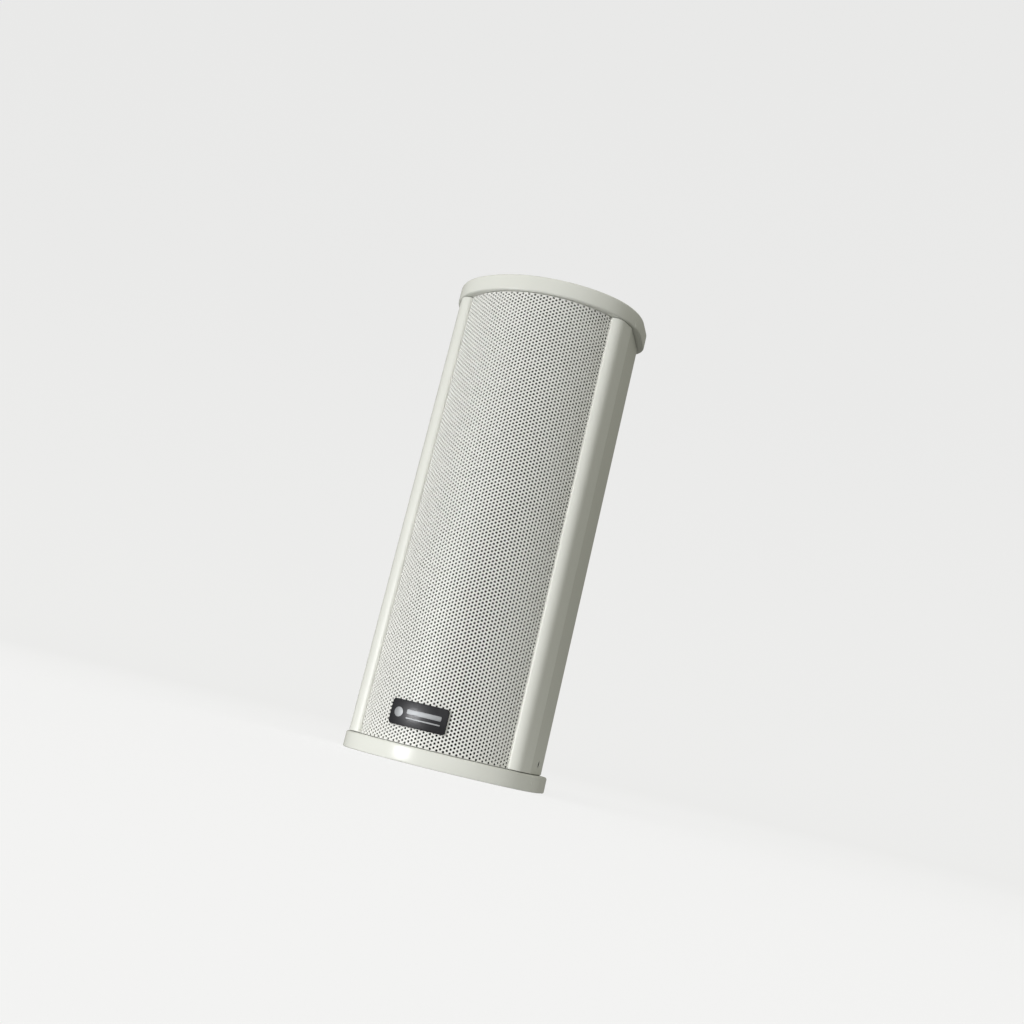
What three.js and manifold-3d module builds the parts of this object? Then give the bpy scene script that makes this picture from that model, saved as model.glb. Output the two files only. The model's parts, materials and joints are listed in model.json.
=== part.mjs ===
// Wall-mount column loudspeaker: a D-section aluminium housing with moulded end caps, a curved perforated
// grille, two full-range drivers on a baffle, a line-matching transformer and a rear terminal panel.
// Millimetres. +Z up, the front faces -Y, and the origin is under the middle of the base.
import * as THREE from "three";
import Module from "manifold-3d";
import { mergeVertices } from "three/addons/utils/BufferGeometryUtils.js";

const wasm = await Module();
wasm.setup();

// ---------------------------------------------------------------- driving dimensions
const WIDTH = 108;
const DEPTH = 78;
const HEIGHT = 266;
const GAP = 0.3; // between pieces that touch
const SEAL_GAP = 0.1; // between a seal and the flat faces that press on it

// End caps.
const TOP_CAP_HEIGHT = 9.4;
const BOTTOM_CAP_HEIGHT = 8.6;
const FRONT_RADIUS = 64;
const SHOULDER_RADIUS = 40;
const CAP_CORNER_RADIUS = 18;
const CAP_EDGE_RADIUS = 1.1;
const CAP_POCKET_DEPTH = 4.6;
const CAP_POCKET_INSET = 10;
const LUG_LENGTH = 11;

// Housing.
const CAP_OVERHANG = 1.2; // of the caps past the front and the shoulders of the housing
const HOUSING_HALF_WIDTH = 50.3; // at the flat sides
const HOUSING_REAR = 35;
const HOUSING_CORNER_RADIUS = 13;
const WALL = 2;
const SEAL_THICKNESS = 0.3;
const SEAL_INSET = 0.8;
const SEAL_WIDTH = 1.2;
const CORE_FACETS = 16; // round a port, a recess or an insert

// The rim beside the grille window: a rounded lip, then a roll that flattens into a facet. The angles are
// of their normals, measured from the front.
const LIP_RADIUS = 1.55;
const LIP_START = THREE.MathUtils.degToRad(-55);
const ROLL_RADIUS = 6.5;
const FACET_ANGLE = THREE.MathUtils.degToRad(69);

// Grille window.
const WINDOW_HALF_WIDTH = 40.2;
const WINDOW_RADIUS = 53; // of the curve that the grille, the cloth and the badge follow
const GRILLE_SUNK = 0.4; // below that curve
const GRILLE_THICKNESS = 0.8;
const CLOTH_THICKNESS = 0.6;
const LEDGE_HALF_WIDTHS = [37, 40.4];
const LEDGE_THICKNESS = 1;
const WEB = [40.2, 41.8]; // near and far face, from the middle
const WEB_Y = [-18.2, -13.85];

// Badge, left of the middle.
const BADGE = { left: -21.8, right: 9.1, low: 17.4, high: 30.3 };
const BADGE_CORNER = 1.6;
const BADGE_FRONT = -1.1; // proud of the housing's surface
const BADGE_BACK = 0.1;

// Baffle.
const BAFFLE_FRONT = -13.5;
const BAFFLE_THICKNESS = 3;
const BAFFLE_HALF_WIDTH = 44.9;
const BAFFLE_HOLE_RADIUS = 32.5;
const RIB_THICKNESS = 1.5;
const FRONT_RIB = [41.5, 46]; // near and far edge, from the middle
const BACK_RIB = [42, 49];

// Lugs of the end caps.
const SIDE_LUG = [41.6, 47.9]; // near and far face, from the middle
const SIDE_LUG_HALF_DEPTH = 4;
const REAR_LUG_HALF_WIDTH = 16;
const REAR_LUG_Y = [28, 32.6];
const REAR_LUG_LENGTH = 6;

// Fasteners.
const CAP_SCREW_PLACES = [
  [45.2, 0],
  [42.6, 27.3],
];
const PORT_RADIUS = 3.6;
const PORT_BORE = 1.7;
const SCREW_SHANK = 1.4;
const CAP_SCREW_HEAD = 3;
const CAP_SCREW_LENGTH = 20;
const SIDE_SCREW_Y = 10;
const SIDE_SCREW_Z = 14.2;
const SIDE_HOLE_RADIUS = 2.1;
const SIDE_HEAD_SUNK = 0.2;
const SIDE_SCREW_LENGTH = 7.5;
const DRIVER_SCREW_LENGTH = 9;
const REAR_SCREW_LENGTH = 8;
const PAN_HEAD_RADIUS = 2.4;
const PAN_HEAD_HEIGHT = 1.6;
const HEAD_RECESS_DEPTH = 0.9;

// Drivers.
const DRIVER_HEIGHTS = { lower: 75, upper: 191 };
const FLANGE_RADIUS = 39;
const FLANGE_THICKNESS = 1.5;
const FLANGE_BACK = BAFFLE_FRONT - GAP;
const FLANGE_FRONT = FLANGE_BACK - FLANGE_THICKNESS;
const DRIVER_SCREW_RADIUS = 36;
const CONE_RADIUS = 26.5;
const COIL_RADIUS = 12.65;
const TERMINAL_TAG_RADIUS = 29.8;
const DUST_CAP = { radius: 12.4, height: 3.4, thickness: 0.4, base: -6.6 };
const COIL = { front: -6.3, windingFront: 2, back: 9.5, formerThickness: 0.3, windingThickness: 0.8 };
const TOP_PLATE = { inner: 13.9, outer: 22, front: 3.3, back: 7.3 };
const MAGNET = { inner: 15.5, outer: 27, front: 7.6, back: 17.6 };
const YOKE = { pole: 12, front: 3.5, plateFront: 17.9, outer: 24, back: 21.9 };

// Rear fittings.
const INSERT_HEIGHTS = { lower: 63, upper: 203 };
const INSERT_BODY_RADIUS = 4.2;
const INSERT_FLANGE_RADIUS = 5.6;
const INSERT_BORE = 2.6;
const INSERT_DEPTH = 12;
const INSERT_FLANGE_THICKNESS = 0.8;
const TRANSFORMER_HEIGHT = 133;
const TRANSFORMER_FOOT = 24.5; // from its middle to each fixing screw
const CORE = { x: 7, y: [1, 30], z: 17.5 };
const CORE_WINDOW = { y: [6, 25], z: [5.5, 12] }; // z from the transformer's middle
const WINDING = { x: 13.5, y: [6.4, 24.6], z: 11.6 };
const BRACKET_HALF_WIDTH = 6;
const BRACKET_THICKNESS = 1;
const TERMINAL_HEIGHT = 33;
const TERMINAL_HALF_SIZE = [23, 12];
const TERMINAL_PLATE_THICKNESS = 1.2;
const TERMINAL_WINDOW = [16, 6.5];
const TERMINAL_SCREW_X = 19.5;
const BLOCK_HALF_SIZE = [15.6, 6.1];
const BLOCK_DEPTHS = { front: 27, face: 36.4, wallBack: 38.4 };
const BLOCK_WALLS = [-15, -7.5, 0, 7.5, 15];
const BLOCK_WALL_THICKNESS = 1.2;
const BLOCK_WAYS = [-11.25, -3.75, 3.75, 11.25];
const LEAD_RADIUS = 0.9;

const FACETS = 24; // round a driver
const SMALL_FACETS = 8; // round a screw

// ---------------------------------------------------------------- derived places
const FRONT = -DEPTH / 2;
const REAR = DEPTH / 2;
const HALF_WIDTH = WIDTH / 2;
const BOTTOM_CAP_TOP = BOTTOM_CAP_HEIGHT;
const TOP_CAP_BOTTOM = HEIGHT - TOP_CAP_HEIGHT;
const SEAL_SPACE = SEAL_THICKNESS + 2 * SEAL_GAP;
const HOUSING_BOTTOM = BOTTOM_CAP_TOP + SEAL_SPACE;
const HOUSING_TOP = TOP_CAP_BOTTOM - SEAL_SPACE;
const GRILLE_BOTTOM = BOTTOM_CAP_TOP + GAP;
const GRILLE_TOP = TOP_CAP_BOTTOM - GAP;

// The front arc meets the shoulder arc where both have the same tangent.
const FRONT_CENTRE_Y = FRONT + FRONT_RADIUS;
const ARC_JOIN = Math.asin((HALF_WIDTH - SHOULDER_RADIUS) / (FRONT_RADIUS - SHOULDER_RADIUS));
const SHOULDER_X = (FRONT_RADIUS - SHOULDER_RADIUS) * Math.sin(ARC_JOIN);
const SHOULDER_Y = FRONT_CENTRE_Y - (FRONT_RADIUS - SHOULDER_RADIUS) * Math.cos(ARC_JOIN);
const CLOTH_SUNK = GRILLE_SUNK + GRILLE_THICKNESS + GAP;
const LEDGE_SUNK = CLOTH_SUNK + CLOTH_THICKNESS + GAP;
const LEDGE_BACK = LEDGE_SUNK + LEDGE_THICKNESS;
const REAR_FITTING_FRONT = HOUSING_REAR + GAP;
const INSERT_FACE = REAR_FITTING_FRONT + INSERT_FLANGE_THICKNESS;
const PLATE_FACE = REAR_FITTING_FRONT + TERMINAL_PLATE_THICKNESS;

// ---------------------------------------------------------------- materials
function material(color, roughness, metalness) {
  return new THREE.MeshStandardMaterial({ color, roughness, metalness });
}

const paint = material(0xe4e6de, 0.42, 0.1);
const capPlastic = material(0xe2e4dc, 0.48, 0);
const blackGloss = material(0x17181b, 0.25, 0);
const rubber = material(0x1c1c1c, 0.9, 0);
const gasket = material(0x63645f, 0.9, 0);
const cloth = material(0x202021, 0.95, 0);
const steel = material(0xb9bcc0, 0.35, 1);
const blackSteel = material(0x191919, 0.45, 0.8);
const board = material(0x3c3a37, 0.8, 0);
const basketPaint = material(0x232427, 0.55, 0.4);
const paper = material(0x2a2927, 0.9, 0);
const ferrite = material(0x303033, 0.7, 0.1);
const copper = material(0xb46a34, 0.35, 1);
const spiderCloth = material(0xc79a4a, 0.9, 0);
const tape = material(0xd7b23a, 0.5, 0);
const blackPlastic = material(0x1b1c1e, 0.6, 0);

// ---------------------------------------------------------------- solids
// A closed three.js geometry as a manifold solid, with its faces turned outwards.
function solidOf(geometry) {
  const bare = new THREE.BufferGeometry();
  const source = geometry.index ? geometry.toNonIndexed() : geometry;
  bare.setAttribute("position", source.getAttribute("position"));
  const merged = mergeVertices(bare, 1e-4);
  const index = merged.index.array;
  const triangles = [];
  for (let i = 0; i < index.length; i += 3) {
    const [a, b, c] = [index[i], index[i + 1], index[i + 2]];
    if (a !== b && b !== c && c !== a) triangles.push([a, b, c]);
  }
  const build = (list) =>
    new wasm.Manifold(
      new wasm.Mesh({
        numProp: 3,
        vertProperties: merged.attributes.position.array,
        triVerts: new Uint32Array(list.flat()),
      }),
    );
  const solid = build(triangles);
  return solid.volume() > 0 ? solid : build(triangles.map(([a, b, c]) => [a, c, b]));
}

function geometryOf(solid) {
  const mesh = solid.getMesh();
  const geometry = new THREE.BufferGeometry();
  geometry.setAttribute("position", new THREE.BufferAttribute(mesh.vertProperties, 3));
  geometry.setIndex(new THREE.BufferAttribute(mesh.triVerts, 1));
  return geometry;
}

function prism(points, low, high) {
  const geometry = new THREE.ExtrudeGeometry(new THREE.Shape(points), {
    depth: high - low,
    bevelEnabled: false,
  });
  return solidOf(geometry.translate(0, 0, low));
}

function box(x, y, z) {
  const geometry = new THREE.BoxGeometry(x[1] - x[0], y[1] - y[0], z[1] - z[0]);
  geometry.translate((x[0] + x[1]) / 2, (y[0] + y[1]) / 2, (z[0] + z[1]) / 2);
  return solidOf(geometry);
}

// Turned about an axis: the profile holds [radius, distance along the axis] points.
function turned(profile, axis, centre, facets = FACETS) {
  const closed = profile[0][0] > 0 ? [...profile, profile[0]] : profile;
  const geometry = new THREE.LatheGeometry(
    closed.map(([radius, along]) => new THREE.Vector2(radius, along)),
    facets,
  );
  if (axis === "z") geometry.rotateX(Math.PI / 2);
  if (axis === "x") geometry.rotateZ(-Math.PI / 2);
  return solidOf(geometry.translate(...centre));
}

function rod(radius, low, high, axis, centre, facets = SMALL_FACETS) {
  const profile = [
    [0, low],
    [radius, low],
    [radius, high],
    [0, high],
  ];
  return turned(profile, axis, centre, facets);
}

// A block that reaches from side to side of the middle.
function centredBox(halfWidth, y, z) {
  return box([-halfWidth, halfWidth], y, z);
}

function joined(...solids) {
  return solids.reduce((all, one) => all.add(one));
}

function cut(solid, ...tools) {
  return tools.reduce((rest, tool) => rest.subtract(tool), solid);
}

const speaker = new THREE.Group();

function addNode(name, solid, look) {
  const mesh = new THREE.Mesh(geometryOf(solid), look);
  mesh.name = name;
  speaker.add(mesh);
}

// ---------------------------------------------------------------- outlines
// Points of an arc; its angles are measured from the front (-Y) round towards +X.
function arc(centreX, centreY, radius, from, to, steps) {
  return Array.from({ length: steps + 1 }, (_, i) => {
    const angle = from + ((to - from) * i) / steps;
    const x = centreX + radius * Math.sin(angle);
    const y = centreY - radius * Math.cos(angle);
    return new THREE.Vector2(x, y);
  });
}

function mirrored(half) {
  const left = half.map((p) => new THREE.Vector2(-p.x, p.y)).reverse();
  const inner = left.filter((p) => Math.abs(p.x) > 1e-6);
  return [...half, ...inner];
}

// The end caps' outline.
function capOutline() {
  const cornerX = HALF_WIDTH - CAP_CORNER_RADIUS;
  const cornerY = REAR - CAP_CORNER_RADIUS;
  const half = [
    ...arc(0, FRONT_CENTRE_Y, FRONT_RADIUS, 0, ARC_JOIN, 6),
    ...arc(SHOULDER_X, SHOULDER_Y, SHOULDER_RADIUS, ARC_JOIN, Math.PI / 2, 7).slice(1),
    ...arc(cornerX, cornerY, CAP_CORNER_RADIUS, Math.PI / 2, Math.PI, 5),
    new THREE.Vector2(0, REAR),
  ];
  return mirrored(half);
}

// The angle on the housing's shoulder arc, sunk below the surface, at which it reaches a half width.
function shoulderAngle(halfWidth, sunk) {
  return Math.asin((halfWidth - SHOULDER_X) / (SHOULDER_RADIUS - CAP_OVERHANG - sunk));
}

// A curve parallel to the caps' front, a depth behind the overhang, from the middle out to a half width.
function frontCurve(halfWidth, sunk) {
  const depth = CAP_OVERHANG + sunk;
  return [
    ...arc(0, FRONT_CENTRE_Y, FRONT_RADIUS - depth, 0, ARC_JOIN, 6),
    ...arc(
      SHOULDER_X,
      SHOULDER_Y,
      SHOULDER_RADIUS - depth,
      ARC_JOIN,
      shoulderAngle(halfWidth, sunk),
      4,
    ).slice(1),
  ];
}

// A whole outline from a front curve, with the housing's sides and rear sunk by a depth.
function outlineBehind(front, sunk) {
  const cornerX = HOUSING_HALF_WIDTH - HOUSING_CORNER_RADIUS;
  const cornerY = HOUSING_REAR - HOUSING_CORNER_RADIUS;
  const rear = [
    ...arc(cornerX, cornerY, HOUSING_CORNER_RADIUS - sunk, Math.PI / 2, Math.PI, 5),
    new THREE.Vector2(0, HOUSING_REAR - sunk),
  ];
  return mirrored([...front, ...rear]);
}

// The outline of the pocket inside a cap.
function pocketOutline() {
  const front = frontCurve(HOUSING_HALF_WIDTH - CAP_POCKET_INSET, CAP_POCKET_INSET);
  return outlineBehind(front, CAP_POCKET_INSET);
}

// The rim beside the window, sunk by a depth: the roll, then the facet as far as the side's crease. The
// outer surface begins with the lip.
function rimCurve(sunk) {
  const crease = frontCurve(HOUSING_HALF_WIDTH, 0).at(-1);
  const along = new THREE.Vector2(Math.cos(FACET_ANGLE), Math.sin(FACET_ANGLE));
  const centreX = WINDOW_HALF_WIDTH - LIP_RADIUS * Math.sin(LIP_START);
  const facet = (crease.x - centreX - ROLL_RADIUS * along.y) / along.x;
  const centreY = crease.y - facet * along.y + ROLL_RADIUS * along.x;
  const roll = arc(centreX, centreY, ROLL_RADIUS - sunk, 0, FACET_ANGLE, 5);
  const rollEnd = roll.at(-1);
  const run = (HOUSING_HALF_WIDTH - sunk - rollEnd.x) / along.x;
  const end = rollEnd.clone().addScaledVector(along, run);
  const top = centreY - ROLL_RADIUS;
  const lip = arc(centreX, top + LIP_RADIUS, LIP_RADIUS, LIP_START, 0, 3).slice(0, -1);
  const begin = sunk > 0 ? [new THREE.Vector2(WINDOW_HALF_WIDTH, top + sunk)] : lip;
  return [...begin, ...roll, end];
}

// The housing's outline, with its two rims, sunk by a depth. It is open across the window.
function housingOutline(sunk) {
  return outlineBehind(rimCurve(sunk), sunk);
}

// The curve of the window, sunk by a depth, between two half widths.
function windowCurve(near, far, sunk, steps) {
  const radius = WINDOW_RADIUS - sunk;
  const centreY = FRONT + CAP_OVERHANG + WINDOW_RADIUS;
  return arc(0, centreY, radius, Math.asin(near / radius), Math.asin(far / radius), steps);
}

// A sheet that follows the window from side to side, between two depths.
function frontSheet(halfWidth, outer, inner, low, high) {
  const forwards = windowCurve(-halfWidth, halfWidth, outer, 18);
  const backwards = windowCurve(-halfWidth, halfWidth, inner, 18).reverse();
  return prism([...forwards, ...backwards], low, high);
}

// The ledge behind one edge of the cloth.
function ledgeBand(side) {
  const forwards = windowCurve(...LEDGE_HALF_WIDTHS, LEDGE_SUNK, 3);
  const backwards = windowCurve(...LEDGE_HALF_WIDTHS, LEDGE_BACK, 3).reverse();
  const points = [...forwards, ...backwards];
  const placed = points.map((p) => new THREE.Vector2(side * p.x, p.y));
  return prism(placed, HOUSING_BOTTOM, HOUSING_TOP);
}

const SIDES = { left: -1, right: 1 };

// Two distances from the middle as a low and a high X on one side.
function across(side, [near, far]) {
  return side > 0 ? [near, far] : [-far, -near];
}

// ---------------------------------------------------------------- housing
function housingShell() {
  const height = [HOUSING_BOTTOM, HOUSING_TOP];
  const through = [HOUSING_BOTTOM - 1, HOUSING_TOP + 1];
  let shell = cut(
    prism(housingOutline(0), ...height),
    prism(housingOutline(WALL), ...through),
    centredBox(WINDOW_HALF_WIDTH, [FRONT - 1, 0], through),
  );
  const ribFront = BAFFLE_FRONT - GAP;
  const ribBack = BAFFLE_FRONT + BAFFLE_THICKNESS + GAP;
  for (const side of Object.values(SIDES)) {
    const ribs = [
      box(across(side, FRONT_RIB), [ribFront - RIB_THICKNESS, ribFront], height),
      box(across(side, BACK_RIB), [ribBack, ribBack + RIB_THICKNESS], height),
    ];
    const web = box(across(side, WEB), WEB_Y, height);
    shell = joined(shell, ...ribs, web, ledgeBand(side));
    for (const [x, y] of CAP_SCREW_PLACES)
      shell = shell.add(rod(PORT_RADIUS, ...height, "z", [side * x, y, 0], CORE_FACETS));
    for (const [x, y] of CAP_SCREW_PLACES)
      shell = shell.subtract(rod(PORT_BORE, ...through, "z", [side * x, y, 0]));
    const holeCentre = [side * HOUSING_HALF_WIDTH, SIDE_SCREW_Y, SIDE_SCREW_Z];
    shell = shell.subtract(rod(SIDE_HOLE_RADIUS, -WALL - 1, WALL + 1, "x", holeCentre));
  }
  const rearWall = [HOUSING_REAR - WALL - 1, HOUSING_REAR + 1];
  const rearHole = (radius, x, z) => rod(radius, ...rearWall, "y", [x, 0, z], CORE_FACETS);
  for (const z of Object.values(INSERT_HEIGHTS))
    shell = shell.subtract(rearHole(INSERT_BODY_RADIUS + GAP, 0, z));
  for (const side of Object.values(SIDES)) {
    shell = shell.subtract(rearHole(PORT_BORE, 0, TRANSFORMER_HEIGHT + side * TRANSFORMER_FOOT));
    shell = shell.subtract(rearHole(PORT_BORE, side * TERMINAL_SCREW_X, TERMINAL_HEIGHT));
  }
  const [windowX, windowZ] = TERMINAL_WINDOW;
  const windowHeight = [TERMINAL_HEIGHT - windowZ, TERMINAL_HEIGHT + windowZ];
  return shell.subtract(centredBox(windowX, rearWall, windowHeight));
}

function seal(low) {
  const through = [low - 1, low + SEAL_THICKNESS + 1];
  return cut(
    prism(housingOutline(SEAL_INSET), low, low + SEAL_THICKNESS),
    prism(housingOutline(SEAL_INSET + SEAL_WIDTH), ...through),
    centredBox(WINDOW_HALF_WIDTH + GAP, [FRONT - 1, 0], through),
  );
}

// ---------------------------------------------------------------- end caps
// direction is 1 for the top cap, whose lugs point down, and -1 for the bottom cap.
function endCap(direction) {
  const height = direction > 0 ? TOP_CAP_HEIGHT : BOTTOM_CAP_HEIGHT;
  const outer = direction > 0 ? HEIGHT : 0;
  const inner = outer - direction * height;
  const span = (a, b) => (a < b ? [a, b] : [b, a]);
  const blank = new THREE.ExtrudeGeometry(new THREE.Shape(capOutline()), {
    depth: height - 2 * CAP_EDGE_RADIUS,
    bevelThickness: CAP_EDGE_RADIUS,
    bevelSize: CAP_EDGE_RADIUS,
    bevelOffset: -CAP_EDGE_RADIUS,
    bevelSegments: 1,
  });
  blank.translate(0, 0, Math.min(inner, outer) + CAP_EDGE_RADIUS);
  const pocketFloor = inner + direction * CAP_POCKET_DEPTH;
  let cap = cut(
    solidOf(blank),
    prism(pocketOutline(), ...span(inner - direction, pocketFloor)),
  );
  const lugTip = inner - direction * LUG_LENGTH;
  const lugRoot = inner + direction;
  const lugDepth = [SIDE_SCREW_Y - SIDE_LUG_HALF_DEPTH, SIDE_SCREW_Y + SIDE_LUG_HALF_DEPTH];
  const rearLugHeight = span(inner - direction * REAR_LUG_LENGTH, lugRoot);
  cap = cap.add(centredBox(REAR_LUG_HALF_WIDTH, REAR_LUG_Y, rearLugHeight));
  for (const side of Object.values(SIDES)) {
    cap = cap.add(box(across(side, SIDE_LUG), lugDepth, span(lugTip, lugRoot)));
    for (const [x, y] of CAP_SCREW_PLACES) {
      const centre = [side * x, y, 0];
      const seat = outer - direction * (HEAD_RECESS_DEPTH + PAN_HEAD_HEIGHT + GAP);
      cap = cut(
        cap,
        rod(PORT_BORE, ...span(inner - direction, outer + direction), "z", centre),
        rod(CAP_SCREW_HEAD + GAP, ...span(seat, outer + direction), "z", centre, CORE_FACETS),
      );
    }
  }
  return cap;
}

function bottomCap() {
  let cap = endCap(-1);
  for (const side of Object.values(SIDES)) {
    const [near, far] = across(side, SIDE_LUG);
    const centre = [0, SIDE_SCREW_Y, SIDE_SCREW_Z];
    cap = cap.subtract(rod(SCREW_SHANK + GAP, near - 1, far + 1, "x", centre));
  }
  return cap;
}

// ---------------------------------------------------------------- fasteners
// A screw along an axis from its head's outer face to its tip; direction is where the tip points.
function screw(headRadius, headHeight, length, direction, axis, centre) {
  const along = (distance) => direction * distance;
  const recess = headRadius * 0.45;
  const profile = [
    [0, along(headHeight / 2)],
    [recess, along(headHeight / 2)],
    [recess, 0],
    [headRadius * 0.85, 0],
    [headRadius, along(headHeight * 0.4)],
    [headRadius, along(headHeight)],
    [SCREW_SHANK, along(headHeight)],
    [SCREW_SHANK, along(length - 1.5)],
    [0, along(length)],
  ];
  return turned(profile, axis, centre, SMALL_FACETS);
}

function addCapScrews() {
  for (const [capName, outer, direction] of [
    ["top_cap", HEIGHT, -1],
    ["bottom_cap", 0, 1],
  ])
    for (const [sideName, side] of Object.entries(SIDES))
      CAP_SCREW_PLACES.forEach(([x, y], row) => {
        const place = row === 0 ? "front" : "rear";
        const head = outer + direction * HEAD_RECESS_DEPTH;
        const centre = [side * x, y, head];
        const solid = screw(CAP_SCREW_HEAD, PAN_HEAD_HEIGHT, CAP_SCREW_LENGTH, direction, "z", centre);
        addNode(`${capName}_screw_${place}_${sideName}`, solid, blackSteel);
      });
}

// Their heads fill the holes in the housing's sides and press on the lugs of the bottom cap.
function addSideScrews() {
  const headFace = HOUSING_HALF_WIDTH - SIDE_HEAD_SUNK;
  const headHeight = headFace - SIDE_LUG[1] - GAP;
  const headRadius = SIDE_HOLE_RADIUS - SEAL_GAP;
  for (const [name, side] of Object.entries(SIDES)) {
    const centre = [side * headFace, SIDE_SCREW_Y, SIDE_SCREW_Z];
    const solid = screw(headRadius, headHeight, SIDE_SCREW_LENGTH, -side, "x", centre);
    addNode(`side_screw_${name}`, solid, blackSteel);
  }
}

// ---------------------------------------------------------------- front
// A flat rounded outline, cut through a sheet that follows the window.
function badge() {
  const { left, right, low, high } = BADGE;
  const corner = BADGE_CORNER;
  const plate = new THREE.Shape();
  plate.moveTo(left + corner, low);
  plate.lineTo(right - corner, low);
  plate.absarc(right - corner, low + corner, corner, -Math.PI / 2, 0);
  plate.absarc(right - corner, high - corner, corner, 0, Math.PI / 2);
  plate.absarc(left + corner, high - corner, corner, Math.PI / 2, Math.PI);
  plate.absarc(left + corner, low + corner, corner, Math.PI, 1.5 * Math.PI);
  const depth = DEPTH / 4;
  const block = new THREE.ExtrudeGeometry(plate, { depth, bevelEnabled: false, curveSegments: 3 });
  block.rotateX(Math.PI / 2);
  block.translate(0, FRONT + depth - 1, 0);
  const sheet = frontSheet(WINDOW_HALF_WIDTH, BADGE_FRONT, BADGE_BACK, low - 1, high + 1);
  return sheet.intersect(solidOf(block));
}

function baffle() {
  const height = [HOUSING_BOTTOM + GAP, HOUSING_TOP - GAP];
  const depth = [BAFFLE_FRONT, BAFFLE_FRONT + BAFFLE_THICKNESS];
  const through = [depth[0] - 1, depth[1] + 1];
  let panel = centredBox(BAFFLE_HALF_WIDTH, depth, height);
  for (const z of Object.values(DRIVER_HEIGHTS)) {
    panel = panel.subtract(rod(BAFFLE_HOLE_RADIUS, ...through, "y", [0, 0, z], FACETS));
    for (const [x, dz] of driverScrewPlaces())
      panel = panel.subtract(rod(PORT_BORE, ...through, "y", [x, 0, z + dz]));
  }
  return panel;
}

// ---------------------------------------------------------------- drivers
function driverScrewPlaces() {
  return [45, 135, 225, 315].map((degrees) => {
    const angle = THREE.MathUtils.degToRad(degrees);
    return [DRIVER_SCREW_RADIUS * Math.cos(angle), DRIVER_SCREW_RADIUS * Math.sin(angle)];
  });
}

// A pressed frame with a front flange, a sloping wall with four openings, and a seat for the magnet.
function driverBasket(z) {
  const centre = [0, 0, z];
  const profile = [
    [30, FLANGE_FRONT],
    [FLANGE_RADIUS, FLANGE_FRONT],
    [FLANGE_RADIUS, FLANGE_BACK],
    [31.4, FLANGE_BACK],
    [25.8, -1.4],
    [23.4, 0.4],
    [23.4, 3],
    [14.6, 3],
    [14.6, 1.5],
    [21.4, 1.5],
    [21.4, -1.2],
    [24.4, -1.2],
    [29.8, FLANGE_BACK + 0.5],
  ];
  let basket = turned(profile, "y", centre);
  const openings = [-11.5, -3.2];
  const openingHalfWidth = 12;
  const beyond = FLANGE_RADIUS + 1;
  basket = cut(
    basket,
    centredBox(beyond, openings, [z - openingHalfWidth, z + openingHalfWidth]),
    centredBox(openingHalfWidth, openings, [z - beyond, z + beyond]),
  );
  for (const [x, dz] of driverScrewPlaces()) {
    const hole = rod(PORT_BORE, FLANGE_FRONT - 1, FLANGE_BACK + 1, "y", [x, 0, z + dz]);
    basket = basket.subtract(hole);
  }
  return basket;
}

function driverSurround(z) {
  const [inner, outer] = [CONE_RADIUS + GAP, 33.2];
  const [rollStart, rollEnd] = [27.4, 31.6];
  const back = FLANGE_FRONT - GAP;
  const rollMiddle = (rollStart + rollEnd) / 2;
  const roll = (radius, steps) =>
    Array.from({ length: steps + 1 }, (_, i) => {
      const angle = (Math.PI * i) / steps;
      return [rollMiddle + radius * Math.cos(angle), back - radius * Math.sin(angle)];
    });
  const thickness = 0.6;
  const rollRadius = (rollEnd - rollStart) / 2;
  const outside = roll(rollRadius + thickness / 2, 4).map(([r, y]) => [r, y - thickness]);
  const inside = roll(rollRadius - thickness / 2, 4).reverse();
  const profile = [
    [outer, back],
    [outer, back - thickness],
    ...outside,
    [inner, back - thickness],
    [inner, back],
    ...inside,
  ];
  return turned(profile, "y", [0, 0, z]);
}

function driverSpider(z) {
  const [inner, outer] = [13.2, 24];
  const ridges = 6;
  const thickness = 0.5;
  const waveHeight = 0.35;
  const middle = -2.3;
  const rim = (offset) =>
    Array.from({ length: ridges + 1 }, (_, i) => {
      const radius = inner + ((outer - inner) * i) / ridges;
      return [radius, middle + offset + waveHeight * (i % 2 ? -1 : 1)];
    });
  return turned([...rim(-thickness / 2), ...rim(thickness / 2).reverse()], "y", [0, 0, z], 20);
}

function driverCone(z) {
  const thickness = 0.5;
  const [inner, innerY, outerY] = [COIL_RADIUS + GAP, -5.5, FLANGE_FRONT - 0.6];
  const steps = 3;
  const bowHeight = 1.6;
  const wall = (offset) =>
    Array.from({ length: steps + 1 }, (_, i) => {
      const along = i / steps;
      const bow = bowHeight * Math.sin(Math.PI * along);
      return [
        inner + (CONE_RADIUS - inner) * along,
        innerY + (outerY - innerY) * along + bow + offset,
      ];
    });
  return turned([...wall(-thickness), ...wall(thickness).reverse()], "y", [0, 0, z]);
}

function dustCap(z) {
  const { radius: rim, height, thickness, base } = DUST_CAP;
  const steps = 3;
  const dome = (radius, top) =>
    Array.from({ length: steps + 1 }, (_, i) => {
      const angle = (Math.PI / 2) * (i / steps);
      return [radius * Math.cos(angle), base - top * Math.sin(angle)];
    });
  const outside = dome(rim, height);
  const inside = dome(rim - thickness, height - thickness).reverse();
  outside[steps][0] = 0;
  inside[0][0] = 0;
  return turned([...inside, ...outside], "y", [0, 0, z], CORE_FACETS);
}

// A thin former with the winding round its rear part.
function voiceCoil(z) {
  const inner = COIL_RADIUS - COIL.formerThickness;
  const winding = COIL_RADIUS + COIL.windingThickness;
  const profile = [
    [inner, COIL.front],
    [COIL_RADIUS, COIL.front],
    [COIL_RADIUS, COIL.windingFront],
    [winding, COIL.windingFront],
    [winding, COIL.back],
    [inner, COIL.back],
  ];
  return turned(profile, "y", [0, 0, z]);
}

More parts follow.
